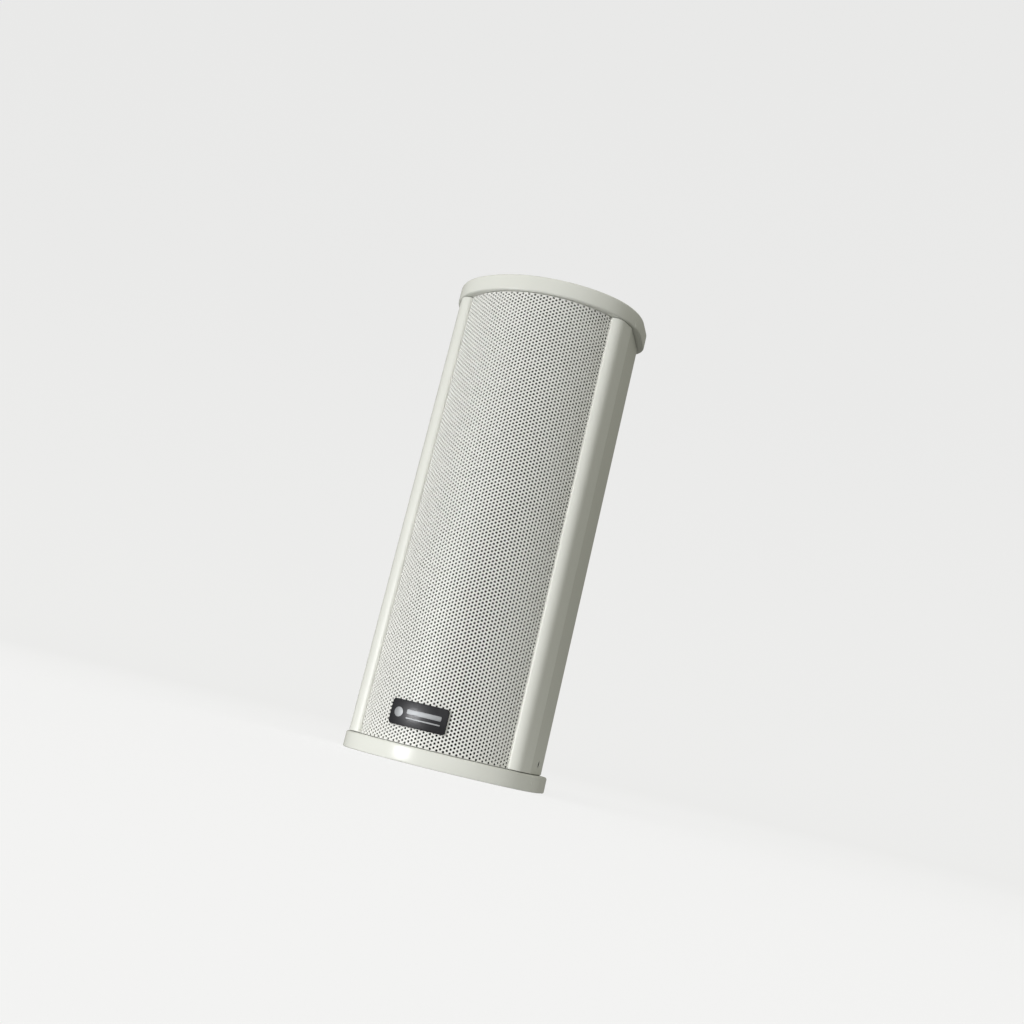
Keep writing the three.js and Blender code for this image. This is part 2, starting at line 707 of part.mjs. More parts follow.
function ring({ inner, outer, front, back }, z) {
  const profile = [
    [inner, front],
    [outer, front],
    [outer, back],
    [inner, back],
  ];
  return turned(profile, "y", [0, 0, z]);
}

// The pole piece and the back plate, in one.
function magnetYoke(z) {
  const profile = [
    [0, YOKE.front],
    [YOKE.pole, YOKE.front],
    [YOKE.pole, YOKE.plateFront],
    [YOKE.outer, YOKE.plateFront],
    [YOKE.outer, YOKE.back - 1],
    [YOKE.outer - 2, YOKE.back],
    [0, YOKE.back],
  ];
  return turned(profile, "y", [0, 0, z]);
}

// Two solder tags on a strip, outside the basket's arm at 45 degrees.
function terminalTag(z) {
  const stripHalfWidth = 6;
  const tag = [2, 4.5];
  const stripDepth = [-9, -2];
  const tagDepth = [-3, 1.5];
  const tagRadii = [TERMINAL_TAG_RADIUS + 0.3, TERMINAL_TAG_RADIUS + 0.9];
  const strip = joined(
    centredBox(stripHalfWidth, stripDepth, [TERMINAL_TAG_RADIUS, TERMINAL_TAG_RADIUS + 1.2]),
    box(across(-1, tag), tagDepth, tagRadii),
    box(across(1, tag), tagDepth, tagRadii),
  );
  return strip.rotate([0, 45, 0]).translate([0, 0, z]);
}

function addDriver(name, z) {
  addNode(`driver_basket_${name}`, driverBasket(z), basketPaint);
  addNode(`driver_surround_${name}`, driverSurround(z), rubber);
  addNode(`driver_spider_${name}`, driverSpider(z), spiderCloth);
  addNode(`driver_cone_${name}`, driverCone(z), paper);
  addNode(`driver_dust_cap_${name}`, dustCap(z), paper);
  addNode(`voice_coil_${name}`, voiceCoil(z), copper);
  addNode(`magnet_top_plate_${name}`, ring(TOP_PLATE, z), steel);
  addNode(`magnet_${name}`, ring(MAGNET, z), ferrite);
  addNode(`magnet_yoke_${name}`, magnetYoke(z), steel);
  addNode(`driver_terminal_${name}`, terminalTag(z), tape);
  driverScrewPlaces().forEach(([x, dz], i) => {
    const centre = [x, FLANGE_FRONT - GAP - PAN_HEAD_HEIGHT, z + dz];
    const solid = screw(PAN_HEAD_RADIUS, PAN_HEAD_HEIGHT, DRIVER_SCREW_LENGTH, 1, "y", centre);
    addNode(`driver_screw_${name}_${i + 1}`, solid, blackSteel);
  });
}

// ---------------------------------------------------------------- transformer
function transformerCore() {
  const z = TRANSFORMER_HEIGHT;
  let core = centredBox(CORE.x, CORE.y, [z - CORE.z, z + CORE.z]);
  for (const side of Object.values(SIDES)) {
    const window = CORE_WINDOW.z.map((distance) => z + side * distance).sort((a, b) => a - b);
    core = core.subtract(centredBox(CORE.x + 1, CORE_WINDOW.y, window));
  }
  return core;
}

// The winding goes round the core's middle limb.
function transformerWinding() {
  const z = TRANSFORMER_HEIGHT;
  const clearance = 0.4;
  const limb = CORE_WINDOW.z[0] + clearance;
  return cut(
    centredBox(WINDING.x, WINDING.y, [z - WINDING.z, z + WINDING.z]),
    centredBox(CORE.x + clearance, [0, HOUSING_REAR], [z - limb, z + limb]),
  );
}

function transformerBracket() {
  const z = TRANSFORMER_HEIGHT;
  const thickness = BRACKET_THICKNESS;
  const [front, back] = [CORE.y[0] - GAP - thickness, HOUSING_REAR - WALL - GAP];
  const inner = CORE.z + GAP;
  const outer = inner + thickness;
  const foot = TRANSFORMER_FOOT + 4.5;
  let strap = cut(
    joined(
      centredBox(BRACKET_HALF_WIDTH, [front, back], [z - outer, z + outer]),
      centredBox(BRACKET_HALF_WIDTH, [back - thickness, back], [z - foot, z + foot]),
    ),
    centredBox(BRACKET_HALF_WIDTH + 1, [front + thickness, back + 1], [z - inner, z + inner]),
  );
  for (const side of Object.values(SIDES)) {
    const hole = [0, 0, z + side * TRANSFORMER_FOOT];
    strap = strap.subtract(rod(PORT_BORE, back - 2, back + 1, "y", hole));
  }
  return strap;
}

function addTransformer() {
  addNode("transformer_core", transformerCore(), ferrite);
  addNode("transformer_winding", transformerWinding(), tape);
  addNode("transformer_bracket", transformerBracket(), steel);
  for (const [name, side] of Object.entries({ lower: -1, upper: 1 })) {
    const head = REAR_FITTING_FRONT + PAN_HEAD_HEIGHT;
    const centre = [0, head, TRANSFORMER_HEIGHT + side * TRANSFORMER_FOOT];
    const solid = screw(PAN_HEAD_RADIUS, PAN_HEAD_HEIGHT, REAR_SCREW_LENGTH, -1, "y", centre);
    addNode(`transformer_screw_${name}`, solid, blackSteel);
  }
}

// ---------------------------------------------------------------- rear fittings
function threadedInsert(z) {
  const profile = [
    [INSERT_BORE, HOUSING_REAR - INSERT_DEPTH],
    [INSERT_BODY_RADIUS, HOUSING_REAR - INSERT_DEPTH],
    [INSERT_BODY_RADIUS, REAR_FITTING_FRONT],
    [INSERT_FLANGE_RADIUS, REAR_FITTING_FRONT],
    [INSERT_FLANGE_RADIUS, INSERT_FACE],
    [INSERT_BORE, INSERT_FACE],
  ];
  return turned(profile, "y", [0, 0, z], CORE_FACETS);
}

function terminalPlate() {
  const z = TERMINAL_HEIGHT;
  const [halfX, halfZ] = TERMINAL_HALF_SIZE;
  const [windowX, windowZ] = TERMINAL_WINDOW;
  const through = [REAR_FITTING_FRONT - 1, PLATE_FACE + 1];
  let plate = cut(
    centredBox(halfX, [REAR_FITTING_FRONT, PLATE_FACE], [z - halfZ, z + halfZ]),
    centredBox(windowX, through, [z - windowZ, z + windowZ]),
  );
  for (const side of Object.values(SIDES)) {
    const hole = [side * TERMINAL_SCREW_X, 0, z];
    plate = plate.subtract(rod(PORT_BORE, ...through, "y", hole));
  }
  return plate;
}

// Four wire entries between low walls, for two cores in and two cores on to the next speaker.
function terminalBlock() {
  const z = TERMINAL_HEIGHT;
  const { front, face, wallBack } = BLOCK_DEPTHS;
  const [halfX, halfZ] = BLOCK_HALF_SIZE;
  const height = [z - halfZ, z + halfZ];
  const halfWall = BLOCK_WALL_THICKNESS / 2;
  const wells = { radius: 2.4, depth: 4, lift: 1.6 };
  const entries = { halfWidth: 1.6, depth: 6, z: [z - 5, z - 2] };
  let block = centredBox(halfX, [front, face], height);
  for (const x of BLOCK_WALLS)
    block = block.add(box([x - halfWall, x + halfWall], [face - 1, wallBack], height));
  for (const x of BLOCK_WAYS) {
    const entryX = [x - entries.halfWidth, x + entries.halfWidth];
    block = cut(
      block,
      rod(wells.radius, face - wells.depth, face + 1, "y", [x, 0, z + wells.lift]),
      box(entryX, [face - entries.depth, face + 1], entries.z),
    );
  }
  return block;
}

function addRearFittings() {
  for (const [name, z] of Object.entries(INSERT_HEIGHTS))
    addNode(`mounting_insert_${name}`, threadedInsert(z), steel);
  addNode("terminal_plate", terminalPlate(), blackPlastic);
  addNode("terminal_block", terminalBlock(), blackPlastic);
  for (const [name, side] of Object.entries(SIDES)) {
    const head = PLATE_FACE + SEAL_GAP + PAN_HEAD_HEIGHT;
    const centre = [side * TERMINAL_SCREW_X, head, TERMINAL_HEIGHT];
    const solid = screw(PAN_HEAD_RADIUS, PAN_HEAD_HEIGHT, REAR_SCREW_LENGTH, -1, "y", centre);
    addNode(`terminal_screw_${name}`, solid, blackSteel);
  }
}

// ---------------------------------------------------------------- internal leads
// A round lead along a smooth route through points.
function lead(points) {
  const route = new THREE.CatmullRomCurve3(points.map((p) => new THREE.Vector3(...p)));
  const sides = 6;
  const section = new THREE.Shape(arc(0, 0, LEAD_RADIUS, 0, 2 * Math.PI, sides).slice(0, sides));
  const options = { steps: 20, extrudePath: route, bevelEnabled: false };
  return solidOf(new THREE.ExtrudeGeometry(section, options));
}

function addLeads() {
  addNode(
    "input_lead",
    lead([
      [10, 26, TERMINAL_HEIGHT],
      [10.5, 23.6, TERMINAL_HEIGHT + 1],
      [16, 24, 46],
      [29, 20, 70],
      [29, 18, 100],
      [20, 16, 122],
      [14.6, 15.5, 128],
    ]),
    blackPlastic,
  );
  addNode(
    "speaker_lead",
    lead([
      [25.6, 3, DRIVER_HEIGHTS.lower + 20.6],
      [30, 8, 103],
      [30, 12, 133],
      [31, 9, 165],
      [33, 3, 190],
      [29, 3, 205],
      [25.6, 3, DRIVER_HEIGHTS.upper + 22.6],
    ]),
    blackPlastic,
  );
}

// ---------------------------------------------------------------- assembly
const SHEET_HALF_WIDTH = WINDOW_HALF_WIDTH - GAP;
const grilleDepths = [GRILLE_SUNK, GRILLE_SUNK + GRILLE_THICKNESS];
const clothDepths = [CLOTH_SUNK, CLOTH_SUNK + CLOTH_THICKNESS];
const grille = frontSheet(SHEET_HALF_WIDTH, ...grilleDepths, GRILLE_BOTTOM, GRILLE_TOP);
const grilleCloth = frontSheet(SHEET_HALF_WIDTH, ...clothDepths, HOUSING_BOTTOM, HOUSING_TOP);
addNode("housing_shell", housingShell(), paint);
addNode("front_grille", grille, paint);
addNode("grille_cloth", grilleCloth, cloth);
addNode("badge", badge(), blackGloss);
addNode("top_cap", endCap(1), capPlastic);
addNode("bottom_cap", bottomCap(), capPlastic);
addNode("top_seal", seal(HOUSING_TOP + SEAL_GAP), gasket);
addNode("bottom_seal", seal(BOTTOM_CAP_TOP + SEAL_GAP), gasket);
addCapScrews();
addSideScrews();
addNode("baffle", baffle(), board);
for (const [name, z] of Object.entries(DRIVER_HEIGHTS)) addDriver(name, z);
addTransformer();
addRearFittings();
addLeads();

export default speaker;
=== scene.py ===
# A short wall-mount column loudspeaker: off-white D-section housing, curved perforated grille,
# overhanging end caps and a black badge. Shapes are built in millimetres and scaled to metres.
# fmt: off
# fmt: on
import json
import math

import bmesh
import bpy
from mathutils import Matrix, Vector


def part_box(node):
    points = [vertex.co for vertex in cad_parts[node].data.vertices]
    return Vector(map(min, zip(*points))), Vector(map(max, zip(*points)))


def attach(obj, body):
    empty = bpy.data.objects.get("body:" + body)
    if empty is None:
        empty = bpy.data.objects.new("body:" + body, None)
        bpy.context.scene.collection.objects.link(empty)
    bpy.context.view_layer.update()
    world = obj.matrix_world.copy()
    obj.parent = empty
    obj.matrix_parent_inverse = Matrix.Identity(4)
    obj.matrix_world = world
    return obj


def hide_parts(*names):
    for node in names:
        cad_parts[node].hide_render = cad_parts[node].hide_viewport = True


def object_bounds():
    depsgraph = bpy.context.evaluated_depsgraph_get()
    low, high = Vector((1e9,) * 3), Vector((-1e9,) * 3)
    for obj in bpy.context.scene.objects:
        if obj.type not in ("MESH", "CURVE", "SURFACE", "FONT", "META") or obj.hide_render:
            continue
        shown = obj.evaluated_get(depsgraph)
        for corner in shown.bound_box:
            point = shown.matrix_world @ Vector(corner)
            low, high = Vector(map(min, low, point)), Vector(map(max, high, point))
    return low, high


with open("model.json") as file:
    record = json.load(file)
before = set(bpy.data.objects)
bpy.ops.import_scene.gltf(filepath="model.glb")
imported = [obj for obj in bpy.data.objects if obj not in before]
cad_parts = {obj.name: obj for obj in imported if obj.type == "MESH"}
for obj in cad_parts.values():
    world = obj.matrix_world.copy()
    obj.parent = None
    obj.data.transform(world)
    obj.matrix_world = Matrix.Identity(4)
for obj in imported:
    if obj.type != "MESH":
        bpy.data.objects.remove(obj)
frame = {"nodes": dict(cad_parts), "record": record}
CAD_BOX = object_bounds()
MM = 0.001
X, Y, Z = 0, 1, 2


def span(node, axis):
    """Lowest and highest place of a CAD node along one axis, in millimetres."""
    low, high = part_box(node)
    return low[axis] / MM, high[axis] / MM


def middle(node, axis):
    return sum(span(node, axis)) / 2


# ---------------------------------------------------------------- dimensions
FRONT, REAR = (corner[Y] / MM for corner in CAD_BOX)
HALF_WIDTH = CAD_BOX[1][X] / MM
HEIGHT = CAD_BOX[1][Z] / MM
BOTTOM_CAP_TOP = 8.6
TOP_CAP_BOTTOM = HEIGHT - 9.4

# The front of a cap is one wide arc that runs into a tighter shoulder arc at each side.
FRONT_RADIUS = 64
SHOULDER_RADIUS = 40
CAP_CORNER_RADIUS = 18
CAP_OVERHANG = 1.2
CAP_INNER_EDGE = 1.1
TOP_CAP_OUTER_EDGE = 1.2
BOTTOM_CAP_OUTER_EDGE = 0.8
CAP_POCKET_INSET = 10
CAP_POCKET_DEPTH = 4.6
CAP_SEAM_ANGLE = math.radians(71)
CAP_SEAM_LENGTH = 4.6
CAP_SEAM_RADIUS = 0.35
CAP_RECESS_RADIUS = 3.3
CAP_RECESS_DEPTH = 2.8
# Lugs of a cap that reach into the housing, as half widths and places.
SIDE_LUG_X = (41.6, 47.9)
SIDE_LUG_HOLE_X = (39, 51)
SIDE_LUG_HALF_LENGTH = 4
SIDE_LUG_REACH = 11
REAR_LUG_HALF_WIDTH = 16
REAR_LUG_Y = (28, 32.6)
REAR_LUG_REACH = 6

HOUSING_HALF_WIDTH = span("housing_shell", X)[1]
HOUSING_REAR = span("housing_shell", Y)[1]
HOUSING_LOW, HOUSING_HIGH = span("housing_shell", Z)
HOUSING_CORNER_RADIUS = 13
WALL = 2
# The rim beside the grille is a lip at the window, a roll and a flat facet out to the side's crease.
LIP_RADIUS = 1.55
LIP_START = math.radians(-55)
ROLL_RADIUS = 6.5
FACET_ANGLE = math.radians(69)
CREASE_REACH = 0.5
WINDOW_HALF_WIDTH = 40.2
WINDOW_RADIUS = 53
# The ledge behind the cloth, the web that carries it, and the ribs that hold the baffle.
LEDGE_HALF_WIDTHS = (37, 40.4)
LEDGE_DEPTHS = (2.4, 3.4)
WEB = (40.2, 41.8)
WEB_Y = (-18.2, -13.85)
FRONT_RIB = (41.5, 46)
BACK_RIB = (42, 49)
RIB_THICKNESS = 1.5
BAFFLE_CLEARANCE = 0.3
PORT_RADIUS = 3.6
PORT_BORE = 1.7
INSERT_HOLE_RADIUS = 4.5
TERMINAL_WINDOW = (16, 6.5)
SIDE_HOLE_RADIUS = 2.1
CUT_MARGIN = 1  # how far a cutting tool stands past the surfaces that it cuts
SEAL_INSET = 0.5
SEAL_TRIM = 0.3

GRILLE_SUNK = 0.4
GRILLE_THICKNESS = 0.8
GRILLE_DEPTHS = (GRILLE_SUNK, GRILLE_SUNK + GRILLE_THICKNESS)
GRILLE_HALF_WIDTH = 40.15
HOLE_PITCH = 2
HOLE_RADIUS = 0.62
HOLE_SIDES = 12
COLUMN_PITCH = HOLE_PITCH * math.sqrt(3) / 2
HOLE_MARGIN = HOLE_RADIUS + 0.08
COLUMNS = 53
CLOTH_DEPTHS = (1.5, 2.1)

# Heights above the window's curve, and roundings.
BADGE_FACE = 1.1
BADGE_BACK = -0.1
BADGE_CORNER = 1.6
BADGE_EDGE = 0.35
MARK_RISE = 0.1
MARK_ROOT = 0.02  # how far a mark stands in the badge's face
MARK_EDGE = 0.04

FRONT_CENTRE_Y = FRONT + FRONT_RADIUS
WINDOW_CENTRE_Y = FRONT + CAP_OVERHANG + WINDOW_RADIUS
ARC_JOIN = math.asin((HALF_WIDTH - SHOULDER_RADIUS) / (FRONT_RADIUS - SHOULDER_RADIUS))
SHOULDER_X = (FRONT_RADIUS - SHOULDER_RADIUS) * math.sin(ARC_JOIN)
SHOULDER_Y = FRONT_CENTRE_Y - (FRONT_RADIUS - SHOULDER_RADIUS) * math.cos(ARC_JOIN)
SIDES = (-1, 1)


# ---------------------------------------------------------------- camera
CAMERA_PLACE = Vector((0.16121, -0.60559, 0.01853))
CAMERA_YAW = math.radians(14.341)
CAMERA_PITCH = math.radians(11.283)
CAMERA_ROLL = math.radians(13.615)
CAMERA_LENS = 40.75


def add_camera():
    """The camera stands low in front, looks up at the column and is tilted about its line of sight."""
    camera = bpy.data.objects.new("camera", bpy.data.cameras.new("camera"))
    camera.data.lens = CAMERA_LENS
    camera.data.clip_start = 0.01
    turn = Matrix.Rotation(CAMERA_YAW, 4, "Z")
    lift = Matrix.Rotation(math.pi / 2 + CAMERA_PITCH, 4, "X")
    tilt = Matrix.Rotation(CAMERA_ROLL, 4, "Z")
    camera.matrix_world = Matrix.Translation(CAMERA_PLACE) @ turn @ lift @ tilt
    bpy.context.scene.collection.objects.link(camera)
    bpy.context.scene.camera = camera


# ---------------------------------------------------------------- meshes
def new_piece(name, vertices, faces):
    mesh = bpy.data.meshes.new(name)
    mesh.from_pydata(vertices, [], faces)
    mesh.update()
    piece = bpy.data.objects.new(name, mesh)
    bpy.context.scene.collection.objects.link(piece)
    return piece


def loft(name, rings):
    """A closed solid through rings of equal length, with a flat face at each end."""
    count = len(rings[0])
    vertices = [point for ring in rings for point in ring]
    last = (len(rings) - 1) * count
    faces = [list(reversed(range(count))), [last + i for i in range(count)]]
    for level in range(len(rings) - 1):
        low, high = level * count, (level + 1) * count
        for i in range(count):
            j = (i + 1) % count
            faces.append((low + i, low + j, high + j, high + i))
    return new_piece(name, vertices, faces)


def prism(name, outline, low, high):
    return loft(name, [[(x, y, z) for x, y in outline] for z in (low, high)])


def plate(name, outline, front, back):
    """A prism along Y from an outline of (x, z) points."""
    return loft(name, [[(x, y, z) for x, z in outline] for y in (back, front)])


def block(name, x, y, z):
    corners = [(x[0], y[0]), (x[1], y[0]), (x[1], y[1]), (x[0], y[1])]
    return prism(name, corners, *z)


def lathe(name, profile, steps=48, axis=Z, centre=(0, 0, 0)):
    """A solid turned about an axis through a centre, from (radius, distance along the axis) points."""
    on_axis = profile[0][0] == 0 and profile[-1][0] == 0
    rings, vertices, faces = [], [], []
    for radius, along in profile:
        count = steps if radius > 0 else 1
        rings.append([len(vertices) + i for i in range(count)])
        for i in range(count):
            angle = 2 * math.pi * i / steps
            point = [radius * math.cos(angle), radius * math.sin(angle)]
            point.insert(axis, along)
            vertices.append(tuple(p + c for p, c in zip(point, centre)))
    pairs = list(zip(rings, rings[1:])) + ([] if on_axis else [(rings[-1], rings[0])])
    for near, far in pairs:
        for i in range(steps):
            j = (i + 1) % steps
            corners = [near[i % len(near)], near[j % len(near)], far[j % len(far)], far[i % len(far)]]
            unique = list(dict.fromkeys(corners))
            if len(unique) > 2:
                faces.append(unique)
    piece = new_piece(name, vertices, faces)
    turn_outwards(piece)
    return piece


def rod(name, radius, low, high, axis=Z, centre=(0, 0, 0), steps=32):
    return lathe(name, [(0, low), (radius, low), (radius, high), (0, high)], steps, axis, centre)


def turn_outwards(piece):
    mesh = bmesh.new()
    mesh.from_mesh(piece.data)
    bmesh.ops.recalc_face_normals(mesh, faces=mesh.faces)
    mesh.to_mesh(piece.data)
    mesh.free()


def bake_modifiers(piece):
    bpy.context.view_layer.update()
    depsgraph = bpy.context.evaluated_depsgraph_get()
    mesh = bpy.data.meshes.new_from_object(piece.evaluated_get(depsgraph))
    piece.modifiers.clear()
    piece.data = mesh


def combine(piece, tools, operation):
    """Cuts the tools out of a piece (DIFFERENCE) or joins them to it (UNION), and deletes the tools."""
    turn_outwards(piece)
    for tool in tools:
        turn_outwards(tool)
        modifier = piece.modifiers.new(tool.name, "BOOLEAN")
        modifier.operation = operation
        modifier.object = tool
        modifier.solver = "EXACT"
    bake_modifiers(piece)
    for tool in tools:
        bpy.data.objects.remove(tool)


def soften(piece, width, segments=2, angle=40):
    """Rounds every edge that is sharper than an angle."""
    modifier = piece.modifiers.new("soften", "BEVEL")
    modifier.width = width
    modifier.segments = segments
    modifier.limit_method = "ANGLE"
    modifier.angle_limit = math.radians(angle)
    bake_modifiers(piece)


def round_upright_edges(piece, places, reach, segments):
    """Rounds the edges along Z that stand at given (x, y) places; the rounding reaches a distance away."""
    mesh = bmesh.new()
    mesh.from_mesh(piece.data)
    chosen = []
    for edge in mesh.edges:
        a, b = (v.co for v in edge.verts)
        upright = math.hypot(a.x - b.x, a.y - b.y) < 0.01 and abs(a.z - b.z) > 1
        if upright and any(math.hypot(a.x - x, a.y - y) < 0.05 for x, y in places):
            chosen.append(edge)
    bmesh.ops.bevel(mesh, geom=chosen, offset=reach, segments=segments, profile=0.5, affect="EDGES")
    mesh.to_mesh(piece.data)
    mesh.free()


def finish_piece(piece, slot, nodes=(), body="root", sharp=40):
    """Scales a piece to metres, shades it, gives it its finish and ties it to a CAD body."""
    turn_outwards(piece)
    mesh = piece.data
    mesh.transform(Matrix.Scale(MM, 4))
    mesh.materials.clear()
    mesh.materials.append(FINISHES[slot])
    mesh.shade_smooth()
    mesh.set_sharp_from_angle(angle=math.radians(sharp))
    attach(piece, body)
    if nodes:
        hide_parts(*nodes)
    return piece


# ---------------------------------------------------------------- outlines
def arc(centre, radius, start, end, steps):
    """Points of an arc; its angles run from the front (-Y) round towards +X."""
    points = []
    for i in range(steps + 1):
        angle = start + (end - start) * i / steps
        points.append((centre[0] + radius * math.sin(angle), centre[1] - radius * math.cos(angle)))
    return points


def mirrored(half):
    """A whole outline from its right half, which runs from the front to the rear."""
    left = [(-x, y) for x, y in reversed(half) if abs(x) > 1e-6]
    return half + left


def cap_outline(inset):
    corner = (HALF_WIDTH - CAP_CORNER_RADIUS, REAR - CAP_CORNER_RADIUS)
    half = arc((0, FRONT_CENTRE_Y), FRONT_RADIUS - inset, 0, ARC_JOIN, 28)
    half += arc((SHOULDER_X, SHOULDER_Y), SHOULDER_RADIUS - inset, ARC_JOIN, math.pi / 2, 22)[1:]
    half += arc(corner, CAP_CORNER_RADIUS - inset, math.pi / 2, math.pi, 20)
    return mirrored(half + [(0, REAR - inset)])


def shoulder_angle(half_width, depth):
    """Where the caps' shoulder arc, moved inwards by a depth, reaches a half width."""
    return math.asin((half_width - SHOULDER_X) / (SHOULDER_RADIUS - depth))


def rear_curve(sunk):
    """The right rear corner of the housing, sunk by a depth, and on to the middle of its rear face."""
    corner = (HOUSING_HALF_WIDTH - HOUSING_CORNER_RADIUS, HOUSING_REAR - HOUSING_CORNER_RADIUS)
    curve = arc(corner, HOUSING_CORNER_RADIUS - sunk, math.pi / 2, math.pi, 18)
    return curve + [(0, HOUSING_REAR - sunk)]


def pocket_outline():
    """The outline of the pocket inside a cap."""
    depth = CAP_OVERHANG + CAP_POCKET_INSET
    end = shoulder_angle(HOUSING_HALF_WIDTH - CAP_POCKET_INSET, depth)
    half = arc((0, FRONT_CENTRE_Y), FRONT_RADIUS - depth, 0, ARC_JOIN, 28)
    half += arc((SHOULDER_X, SHOULDER_Y), SHOULDER_RADIUS - depth, ARC_JOIN, end, 10)[1:]
    return mirrored(half + rear_curve(CAP_POCKET_INSET))


def rim_curve(sunk):
    """The rim beside the grille, sunk by a depth: the roll, then the facet as far as the side's crease.
    The outer surface begins with the lip."""
    crease_angle = shoulder_angle(HOUSING_HALF_WIDTH, CAP_OVERHANG)
    crease_y = SHOULDER_Y - (SHOULDER_RADIUS - CAP_OVERHANG) * math.cos(crease_angle)
    run, rise = math.cos(FACET_ANGLE), math.sin(FACET_ANGLE)
    centre_x = WINDOW_HALF_WIDTH - LIP_RADIUS * math.sin(LIP_START)
    facet = (HOUSING_HALF_WIDTH - centre_x - ROLL_RADIUS * rise) / run
    centre_y = crease_y - facet * rise + ROLL_RADIUS * run
    roll = arc((centre_x, centre_y), ROLL_RADIUS - sunk, 0, FACET_ANGLE, 24)
    facet = (HOUSING_HALF_WIDTH - sunk - roll[-1][0]) / run
    crease = (HOUSING_HALF_WIDTH - sunk, roll[-1][1] + facet * rise)
    if sunk:
        return [(WINDOW_HALF_WIDTH, roll[0][1])] + roll + [crease]
    return arc((centre_x, roll[0][1] + LIP_RADIUS), LIP_RADIUS, LIP_START, 0, 10)[:-1] + roll + [crease]


def open_section(outer, inner, trim=0):
    """A C-shaped band round the sides and the rear, between two depths. A trim moves its ends back from
    the window."""

    def path(depth):
        rim = rim_curve(depth)
        if trim:
            rim[0] = (rim[0][0] + trim, rim[0][1])
        right = rim + rear_curve(depth)
        return right + [(-x, y) for x, y in reversed(right) if abs(x) > 1e-6]

    return path(outer) + list(reversed(path(inner)))


def window_curve(near, far, sunk, steps):
    """The curve that the grille, cloth and badge follow, sunk by a depth, from one half width to another."""
    radius = WINDOW_RADIUS - sunk
    angles = [math.asin(x / radius) for x in (near, far)]
    return arc((0, WINDOW_CENTRE_Y), radius, *angles, steps)


def window_band(near, far, depths, steps):
    """The outline of a band along the window's curve, between two depths."""
    return window_curve(near, far, depths[0], steps) + window_curve(near, far, depths[1], steps)[::-1]


def rounded_rectangle(x, z, corner, steps=6):
    points = []
    for sx, sz, start in ((1, -1, -90), (1, 1, 0), (-1, 1, 90), (-1, -1, 180)):
        centre_x = (x[1] if sx > 0 else x[0]) - sx * corner
        centre_z = (z[1] if sz > 0 else z[0]) - sz * corner
        for i in range(steps + 1):
            angle = math.radians(start + 90 * i / steps)
            points.append((centre_x + corner * math.cos(angle), centre_z + corner * math.sin(angle)))
    return points


# ---------------------------------------------------------------- finishes
class Finish:
    """A Principled material, with short calls that add noise, waves, colour, roughness and bumps."""

    def __init__(self, name, metallic=0.0, specular=0.5, coat=0.0):
        self.material = bpy.data.materials.new(name)
        self.material.use_nodes = True
        self.nodes = self.material.node_tree.nodes
        self.links = self.material.node_tree.links
        self.shader = self.nodes["Principled BSDF"]
        self.shader.inputs["Metallic"].default_value = metallic
        self.shader.inputs["Specular IOR Level"].default_value = specular
        self.shader.inputs["Coat Weight"].default_value = coat
        self.shader.inputs["Coat Roughness"].default_value = 0.12
        self.place = self.nodes.new("ShaderNodeTexCoord").outputs["Object"]
        self.normal = None

    def stretched(self, stretch):
        """The place in millimetres. Features come out longer along an axis whose stretch is above one."""
        mapping = self.nodes.new("ShaderNodeMapping")
        mapping.inputs["Scale"].default_value = [1 / (MM * s) for s in stretch]
        self.links.new(self.place, mapping.inputs["Vector"])
        return mapping.outputs["Vector"]

    def noise(self, size, detail=3, stretch=(1, 1, 1)):
        """Cloudy noise with features of about size millimetres."""
        node = self.nodes.new("ShaderNodeTexNoise")
        node.inputs["Scale"].default_value = 1 / size
        node.inputs["Detail"].default_value = detail
        self.links.new(self.stretched(stretch), node.inputs["Vector"])
        return node.outputs["Fac"]

    def cells(self, size):
        """Round cells of about size millimetres, dark in their middles."""
        node = self.nodes.new("ShaderNodeTexVoronoi")
        node.inputs["Scale"].default_value = 1 / size
        self.links.new(self.stretched((1, 1, 1)), node.inputs["Vector"])
        return node.outputs["Distance"]

    def wave(self, axis, pitch, distortion=0.0):
        """Parallel waves along an axis, pitch millimetres apart."""
        node = self.nodes.new("ShaderNodeTexWave")
        node.bands_direction = "XYZ"[axis]
        node.inputs["Scale"].default_value = math.pi / (10 * pitch)
        node.inputs["Distortion"].default_value = distortion
        self.links.new(self.stretched((1, 1, 1)), node.inputs["Vector"])
        return node.outputs["Fac"]

    def product(self, a, b):
        node = self.nodes.new("ShaderNodeMath")
        node.operation = "MULTIPLY"
        self.links.new(a, node.inputs[0])
        self.links.new(b, node.inputs[1])
        return node.outputs["Value"]

    def colour(self, factor, dark, light):
        """The base colour runs from dark to light as the factor rises."""
        node = self.nodes.new("ShaderNodeMix")
        node.data_type = "RGBA"
        node.inputs["A"].default_value = (*dark, 1)
        node.inputs["B"].default_value = (*light, 1)
        self.links.new(factor, node.inputs["Factor"])
        self.links.new(node.outputs["Result"], self.shader.inputs["Base Color"])

    def roughness(self, factor, low, high):
        node = self.nodes.new("ShaderNodeMapRange")
        node.inputs["To Min"].default_value = low
        node.inputs["To Max"].default_value = high
        self.links.new(factor, node.inputs["Value"])
        self.links.new(node.outputs["Result"], self.shader.inputs["Roughness"])

    def bump(self, factor, height):
        """Adds relief of a height in millimetres on top of the earlier bumps."""
        node = self.nodes.new("ShaderNodeBump")
        node.inputs["Strength"].default_value = 1
        node.inputs["Distance"].default_value = height * MM
        self.links.new(factor, node.inputs["Height"])
        if self.normal:
            self.links.new(self.normal, node.inputs["Normal"])
        self.normal = node.outputs["Normal"]
        self.links.new(self.normal, self.shader.inputs["Normal"])


def shades(colour, swing):
    """A darker and a lighter version of a colour."""
    return [c * (1 - swing) for c in colour], [min(1, c * (1 + swing)) for c in colour]


